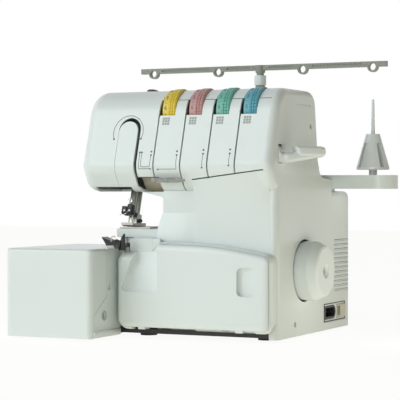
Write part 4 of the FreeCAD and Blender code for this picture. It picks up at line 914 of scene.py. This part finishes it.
# Height of each row, and how far forward it lies at the left, at the fade's start and at the right.
sweep_rows = [
    (bed_high.z - 5 * mm, 0.2 * mm, 0.2 * mm, 0.1 * mm),
    (bed_high.z + 24 * mm, 1.2 * mm, 1.6 * mm, 0.1 * mm),
    (bed_high.z + 38 * mm, 4 * mm, 6 * mm, 0.1 * mm),
    (seam_low, 9.5 * mm, 14.2 * mm, 14.8 * mm),
]
column_face = block("column_face", (sweep_left, column_front - start_depth, sweep_rows[0][0]),
                    (sweep_right, column_front + 0.5 * mm, seam_low))
cut_across(column_face, [(0, 0, row[0]) for row in sweep_rows[1:-1]], (0, 0, 1))
cut_across(column_face, [(fade_start, 0, 0)], (1, 0, 0))
for height, *depths in sweep_rows:
    for across, depth in zip((sweep_left, fade_start, sweep_right), depths):
        pick_points(column_face, lambda place: abs(place.z - height) < near
                    and abs(place.x - across) < near and place.y < column_front)
        bpy.ops.transform.translate(value=(0, start_depth - depth, 0))
        leave_edit()
for across in (fade_start, sweep_right):
    pick_points(column_face, lambda place: abs(place.x - across) < near and place.z > seam_low - near)
    bpy.ops.transform.translate(value=(0, 0, (across - sweep_left) * seam_slope))
    leave_edit()
hand_over(column_face, cover_white, "body_plastic", "body")
print("column face faces:", len(column_face.data.polygons))

# %% [markdown]
# Where the looper cover's top edge drops beside the knife, a small wedge fills the corner, so
# that the wall behind the scoop runs into the slanted edge. It rides on the cover. It is a
# block with one lower corner lifted to the slant.

# %% Cover corner
corner_left = bed_high.x - 0.8 * mm
corner_right = corner_left + 9.5 * mm
corner_low = bed_high.z - 23 * mm
corner_top = bed_high.z - 10 * mm
corner_slant = 9.5 * mm
corner = block("cover_corner", (corner_left, column_front - 4.9 * mm, corner_low),
               (corner_right, column_front - 0.5 * mm, corner_top))
pick_points(corner, lambda place: place.x > corner_right - mm and place.z < corner_low + mm)
bpy.ops.transform.translate(value=(0, 0, corner_slant))
leave_edit()
round_edges(corner, 0.8 * mm, 3)
hand_over(corner, cover_white, "body_plastic", "looper_cover")
print("corner faces:", len(corner.data.polygons))

# %% [markdown]
# Through the notch beside the needles one looks at a plain slanted wall inside the head. It is
# a thin block whose lower edge is pushed back, so that it faces down and dims towards its top.
# The wall is the head's white plastic, but it is painted tan, the colour of the shade inside the notch.

# %% Notch wall
notch_left = bed_high.x - 15.6 * mm
notch_right = notch_left + 26 * mm
notch_slant = 12 * mm
notch_wall = block("notch_wall", (notch_left - 2 * mm, column_front + 4 * mm, head_low + 0.5 * mm),
                   (notch_right, column_front + 5.5 * mm, head_low + 15 * mm))
pick_faces(notch_wall, lambda centre, normal: normal.z < -square_on)
bpy.ops.transform.translate(value=(0, notch_slant, 0))
leave_edit()
round_edges(notch_wall, 0.4 * mm)
# Painted shade: the tan stands for the shade inside the notch, not for a tan part.
hand_over(notch_wall, notch_shade_tan, "body_plastic", "body")
print("notch wall faces:", len(notch_wall.data.polygons))

# %% [markdown]
# The fixed bracket beside the extension reaches down to the table on the real machine. A
# thin plain skirt, drawn in at its lower edge, covers the side of the black pan there.

# %% Bracket skirt
bracket_low, bracket_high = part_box("extension_bracket")
pan_side = bracket_high.x + 1 * mm
skirt_low = 2.4 * mm
skirt_draw = 0.4 * mm
skirt = block("bracket_skirt", (bracket_high.x - 1 * mm, bracket_low.y - 0.3 * mm, skirt_low),
              (pan_side + 0.5 * mm, bracket_high.y - 1 * mm, bracket_low.z + 0.2 * mm))
pick_faces(skirt, lambda centre, normal: normal.z < -square_on)
bpy.ops.transform.translate(value=(-skirt_draw, 0, 0))
leave_edit()
round_edges(skirt, 0.4 * mm)
hand_over(skirt, cover_white, "body_plastic", "body")
print("skirt faces:", len(skirt.data.polygons))

# %% [markdown]
# The wide shallow dimple round the bracket's screw is a flat ring, grey with painted shade. A hollow
# would have to be cut into the solid, so a short rod is opened through the middle, as the dial was.

# %% Dimple round the bracket's screw
dimple_shade_grey = finish("dimple_shade_grey", (0.40, 0.43, 0.41), 0.5, drift=0.06)
dimple_middle = Vector((bracket_high.x, -111.0 * mm, 24.5 * mm))
dimple_radius = 5.4 * mm
dimple_depth = 0.5 * mm
dimple_border = 2.2 * mm
dimple = rod("bracket_dimple", dimple_middle, dimple_radius, dimple_depth, 40, along_x)
open_middle(dimple, 0, dimple_border)
round_edges(dimple, 0.15 * mm)
# Painted shade: the ring's grey stands for the shade in the dimple's hollow.
hand_over(dimple, dimple_shade_grey, "grey_plastic", "body")
print("dimple faces:", len(dimple.data.polygons))

# %% [markdown]
# On the head's top the knob for the foot's pressure is knurled for the fingers. Every other
# face round a cylinder is inset and pushed in, the top is dished, and the whole knob leans
# with the presser bar.

# %% Pressure knob
pressure_low, pressure_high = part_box("pressure_knob")
pressure_middle = (pressure_low + pressure_high) / 2
pressure_radius = (pressure_high.x - pressure_low.x) / 2
pressure_height = 9.8 * mm
top_rise = 0.5 * mm
top_dish = 0.9 * mm
flutes = 44
flute_depth = 0.5 * mm
knob_grey = finish("knob_grey", (0.085, 0.088, 0.09), 0.42, drift=0.12)
pressure = rod("pressure_knob_knurled", pressure_middle, pressure_radius, pressure_height, flutes)
pick_faces(pressure, lambda centre, normal: normal.z > square_on)
bpy.ops.mesh.inset(thickness=1.0 * mm)
bpy.ops.transform.translate(value=(0, 0, top_rise))
bpy.ops.mesh.inset(thickness=1.4 * mm)
bpy.ops.transform.translate(value=(0, 0, -top_dish))
leave_edit()


def in_flute(centre, normal):
    """True for every other face round the knob."""
    turn = math.atan2(centre.y - pressure_middle.y, centre.x - pressure_middle.x)
    return abs(normal.z) < edge_on and round(turn * flutes / (2 * math.pi) - 0.5) % 2 == 0


pick_faces(pressure, in_flute)
bpy.ops.mesh.inset(thickness=0.12 * mm, use_individual=True)
bpy.ops.transform.shrink_fatten(value=-flute_depth)
leave_edit()
lean_back(pressure, pressure_middle)
hand_over(pressure, knob_grey, "black_metal", "pressure_screw", "pressure_knob")
print("knob faces:", len(pressure.data.polygons))

# %% [markdown]
# A drum behind the lifter lever keeps its slot closed. It is a cylinder about the lever's
# pivot, cut away on the left and below so that only the part in the slot is left, and it
# rides with the lever.

# %% Lever drum
def keep_side(piece, place, along):
    """Cut a piece by a plane, keep the part that the direction points to, and close the cut."""
    only(piece)
    bpy.ops.object.mode_set(mode="EDIT")
    bpy.ops.mesh.select_all(action="SELECT")
    bpy.ops.mesh.bisect(plane_co=place, plane_no=along, use_fill=True, clear_inner=True)
    leave_edit()


pivot = Vector((93.0, -64.5, 188.0)) * mm
drum_radius = 16.6 * mm
drum_width = 11.4 * mm
drum_left = 6 * mm
drum_below = 5.2 * mm
drum = rod("lever_drum", pivot, drum_radius, drum_width, 64, along_y)
keep_side(drum, pivot + Vector((drum_left, 0, 0)), (1, 0, 0))
keep_side(drum, pivot - Vector((0, 0, drum_below)), (0, 0, 1))
round_edges(drum, 0.4 * mm)
hand_over(drum, cover_white, "body_plastic", "lifter")
print("drum faces:", len(drum.data.polygons))

# %% [markdown]
# The lever ends in a thumb paddle, a thicker plate that steps up from the bar. It is a block
# along the lever's last stretch with a dished top, well rounded and then swung into line.

# %% Lever paddle
paddle_start = Vector((119.0, -61.0, 0)) * mm
paddle_length = 32 * mm
paddle_half = 6.4 * mm
paddle_low = 189.5 * mm
paddle_high = 199.6 * mm
paddle_turn = math.radians(51)
paddle_slant = 5 * mm
paddle_dish = 0.7 * mm
nearly_level = 0.95
paddle = block("lever_paddle", (0, -paddle_half, paddle_low), (paddle_length, paddle_half, paddle_high))
pick_points(paddle, lambda place: place.x < mm and place.z < paddle_low + mm)
bpy.ops.transform.translate(value=(paddle_slant, 0, 0))
leave_edit()
round_edges(paddle, 2.8 * mm, 5)
pick_faces(paddle, lambda centre, normal: normal.z > nearly_level)
bpy.ops.mesh.inset(thickness=1.2 * mm)
bpy.ops.transform.translate(value=(0, 0, -paddle_dish))
leave_edit()
paddle.data.transform(Matrix.Translation(paddle_start) @ Matrix.Rotation(paddle_turn, 4, "Z"))
hand_over(paddle, cover_white, "body_plastic", "lifter")
print("paddle faces:", len(paddle.data.polygons))

# %% [markdown]
# The mains inlet and the switch share a sunk panel. A thin dark frame round it is painted shadow,
# the shade along the panel's sunk edges. The frame is a block opened through the middle with the
# same helper as the dial.

# %% Inlet frame of painted shadow
inlet_low, inlet_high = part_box("power_inlet")
switch_low, switch_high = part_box("power_switch")
shadow_frame_margin = 2.5 * mm
shadow_frame_width = 1.0 * mm
panel_floor = inlet_high.x
inlet_shadow_frame = block("inlet_shadow_frame",
                    (panel_floor - 0.2 * mm, inlet_low.y - shadow_frame_margin, inlet_low.z - shadow_frame_margin),
                    (panel_floor + 0.6 * mm, switch_high.y + shadow_frame_margin, inlet_high.z + shadow_frame_margin))
open_middle(inlet_shadow_frame, 0, shadow_frame_width)
round_edges(inlet_shadow_frame, 0.15 * mm)
# Painted shadow: the black stands for the shade at the sunk panel's edges.
hand_over(inlet_shadow_frame, pan_black, "dark_plastic", "body")
print("frame faces:", len(inlet_shadow_frame.data.polygons))

# %% [markdown]
# The front half of the switch has upright ribs for the thumb. One rib is a block whose outer
# face is drawn in. Its copies stand beside it, and all are joined into one piece that rocks
# with the switch.

# %% Switch ribs
rib_count = 5
rib_pitch = 1.9 * mm
rib_taper = (1, 0.6, 0.95)
rib = block("switch_rib", (panel_floor - 0.4 * mm, switch_low.y + 2 * mm, switch_low.z + 1.5 * mm),
            (panel_floor + 0.6 * mm, switch_low.y + 3 * mm, switch_high.z - 1.5 * mm))
pick_faces(rib, lambda centre, normal: normal.x > square_on)
bpy.ops.transform.resize(value=rib_taper)
leave_edit()
round_edges(rib, 0.12 * mm)
ribs = [rib]
for place in range(1, rib_count):
    ribs.append(copy_beside(rib, "switch_rib_next", (0, place * rib_pitch, 0)))
switch_ribs = join(ribs, "switch_ribs")
hand_over(switch_ribs, tree_grey, "switch_plastic", "rocker")
print("ribs on the switch:", rib_count)

# %% [markdown]
# The camera stands to the right of the machine's front, level with its middle, with a long
# lens. Its place was found by matching known corners with the photograph. The tilt is under
# half a degree, so upright edges stay upright.

# %% Camera
eye = Vector((0.7412, -1.5848, 0.158))
heading = math.radians(25.5)
tilt = math.radians(0.46)
ahead = Vector((-math.sin(heading) * math.cos(tilt), math.cos(heading) * math.cos(tilt), -math.sin(tilt)))
lens_data = bpy.data.cameras.new("front_right_camera")
lens_data.lens = 145.8
lens_data.sensor_width = 36.0
camera = bpy.data.objects.new("front_right_camera", lens_data)
bpy.context.collection.objects.link(camera)
camera.location = eye
camera.rotation_euler = ahead.to_track_quat("-Z", "Y").to_euler()
bpy.context.scene.camera = camera
print("camera at", tuple(round(v, 3) for v in eye))

# %% [markdown]
# A product shot on white needs one large soft lamp on the front left and a weaker one in
# front. A small lamp close to the table lights the foot of the right side, the table glows
# softly, and the room is darker and warmer on the right. The white behind the machine is what
# the camera sees of the floor and world. It isn't extra light on the machine.

# %% Studio
def soft_lamp(name, place, power, size, colour, target):
    """Square lamp that points at a place on the machine and isn't itself in the picture."""
    data = bpy.data.lights.new(name, "AREA")
    data.energy = power
    data.size = size
    data.color = colour
    lamp = bpy.data.objects.new(name, data)
    bpy.context.collection.objects.link(lamp)
    lamp.location = place
    lamp.rotation_euler = (Vector(target) - Vector(place)).to_track_quat("-Z", "Y").to_euler()
    lamp.visible_camera = False


def seen_directly(tree):
    """1 where a ray comes from the camera, a mirror or glass, and 0 for light on surfaces."""
    path = tree.nodes.new("ShaderNodeLightPath")
    first = tree.nodes.new("ShaderNodeMath")
    first.operation = "MAXIMUM"
    second = tree.nodes.new("ShaderNodeMath")
    second.operation = "MAXIMUM"
    tree.links.new(path.outputs["Is Camera Ray"], first.inputs[0])
    tree.links.new(path.outputs["Is Glossy Ray"], first.inputs[1])
    tree.links.new(first.outputs[0], second.inputs[0])
    tree.links.new(path.outputs["Is Transmission Ray"], second.inputs[1])
    return second.outputs[0]


machine_middle = (0, 0, 0.15)
side_foot = (0.107, 0.0, 0.02)
soft_lamp("key_lamp", (-1.6, -2.0, 1.2), power=26.0, size=1.8, colour=(0.90, 1.0, 1.05),
          target=machine_middle)
soft_lamp("front_lamp", (0.6, -2.5, 0.5), power=11.0, size=1.0, colour=(0.96, 1.0, 0.99),
          target=machine_middle)
soft_lamp("side_lamp", (0.26, 0.0, 0.012), power=0.11, size=0.16, colour=(1.0, 0.98, 0.86),
          target=side_foot)

world = bpy.data.worlds.new("studio_world")
bpy.context.scene.world = world
world.use_nodes = True
sky = world.node_tree
room_light = sky.nodes["Background"]
room_light.inputs["Strength"].default_value = 1.0
way = sky.nodes.new("ShaderNodeTexCoord")
axes = sky.nodes.new("ShaderNodeSeparateXYZ")
to_the_right = sky.nodes.new("ShaderNodeMapRange")
to_the_right.inputs["From Min"].default_value = -0.6
to_the_right.inputs["From Max"].default_value = 0.3
room_colour = sky.nodes.new("ShaderNodeMix")
room_colour.data_type = "RGBA"
room_colour.inputs["A"].default_value = (0.46, 0.46, 0.47, 1)
room_colour.inputs["B"].default_value = (0.05, 0.04, 0.0, 1)
sky.links.new(way.outputs["Generated"], axes.inputs["Vector"])
sky.links.new(axes.outputs["X"], to_the_right.inputs["Value"])
sky.links.new(to_the_right.outputs["Result"], room_colour.inputs["Factor"])
sky.links.new(room_colour.outputs["Result"], room_light.inputs["Color"])
white_wall = sky.nodes.new("ShaderNodeBackground")
white_wall.inputs["Color"].default_value = (1, 1, 1, 1)
white_wall.inputs["Strength"].default_value = 1.0
choose = sky.nodes.new("ShaderNodeMixShader")
sky.links.new(seen_directly(sky), choose.inputs[0])
sky.links.new(room_light.outputs[0], choose.inputs[1])
sky.links.new(white_wall.outputs[0], choose.inputs[2])
sky.links.new(choose.outputs[0], sky.nodes["World Output"].inputs[0])

bpy.ops.object.select_all(action="DESELECT")
floor_size = 8.0
floor_gap = 0.5 * mm
bpy.ops.mesh.primitive_plane_add(size=floor_size, location=(0, 0, -floor_gap))
floor = bpy.context.object
floor.name = "studio_floor"
floor_paint = bpy.data.materials.new("floor_paint")
floor_paint.use_nodes = True
paint = floor_paint.node_tree
matt = paint.nodes["Principled BSDF"]
matt.inputs["Base Color"].default_value = (0.88, 0.86, 0.80, 1)
matt.inputs["Roughness"].default_value = 0.9
matt.inputs["Emission Color"].default_value = (1.0, 0.95, 0.74, 1)
matt.inputs["Emission Strength"].default_value = 0.40
glow = paint.nodes.new("ShaderNodeEmission")
glow.inputs["Strength"].default_value = 1.0
share = paint.nodes.new("ShaderNodeMath")
share.operation = "MULTIPLY"
share.inputs[1].default_value = 0.9
blend = paint.nodes.new("ShaderNodeMixShader")
paint.links.new(seen_directly(paint), share.inputs[0])
paint.links.new(share.outputs[0], blend.inputs[0])
paint.links.new(matt.outputs[0], blend.inputs[1])
paint.links.new(glow.outputs[0], blend.inputs[2])
paint.links.new(blend.outputs[0], paint.nodes["Material Output"].inputs[0])
floor.data.materials.append(floor_paint)
bpy.context.scene.view_settings.view_transform = "Standard"
print("studio ready")

# %% [markdown]
# The dressed machine must not outgrow the solids.

# %% Finish
print("scene ready")
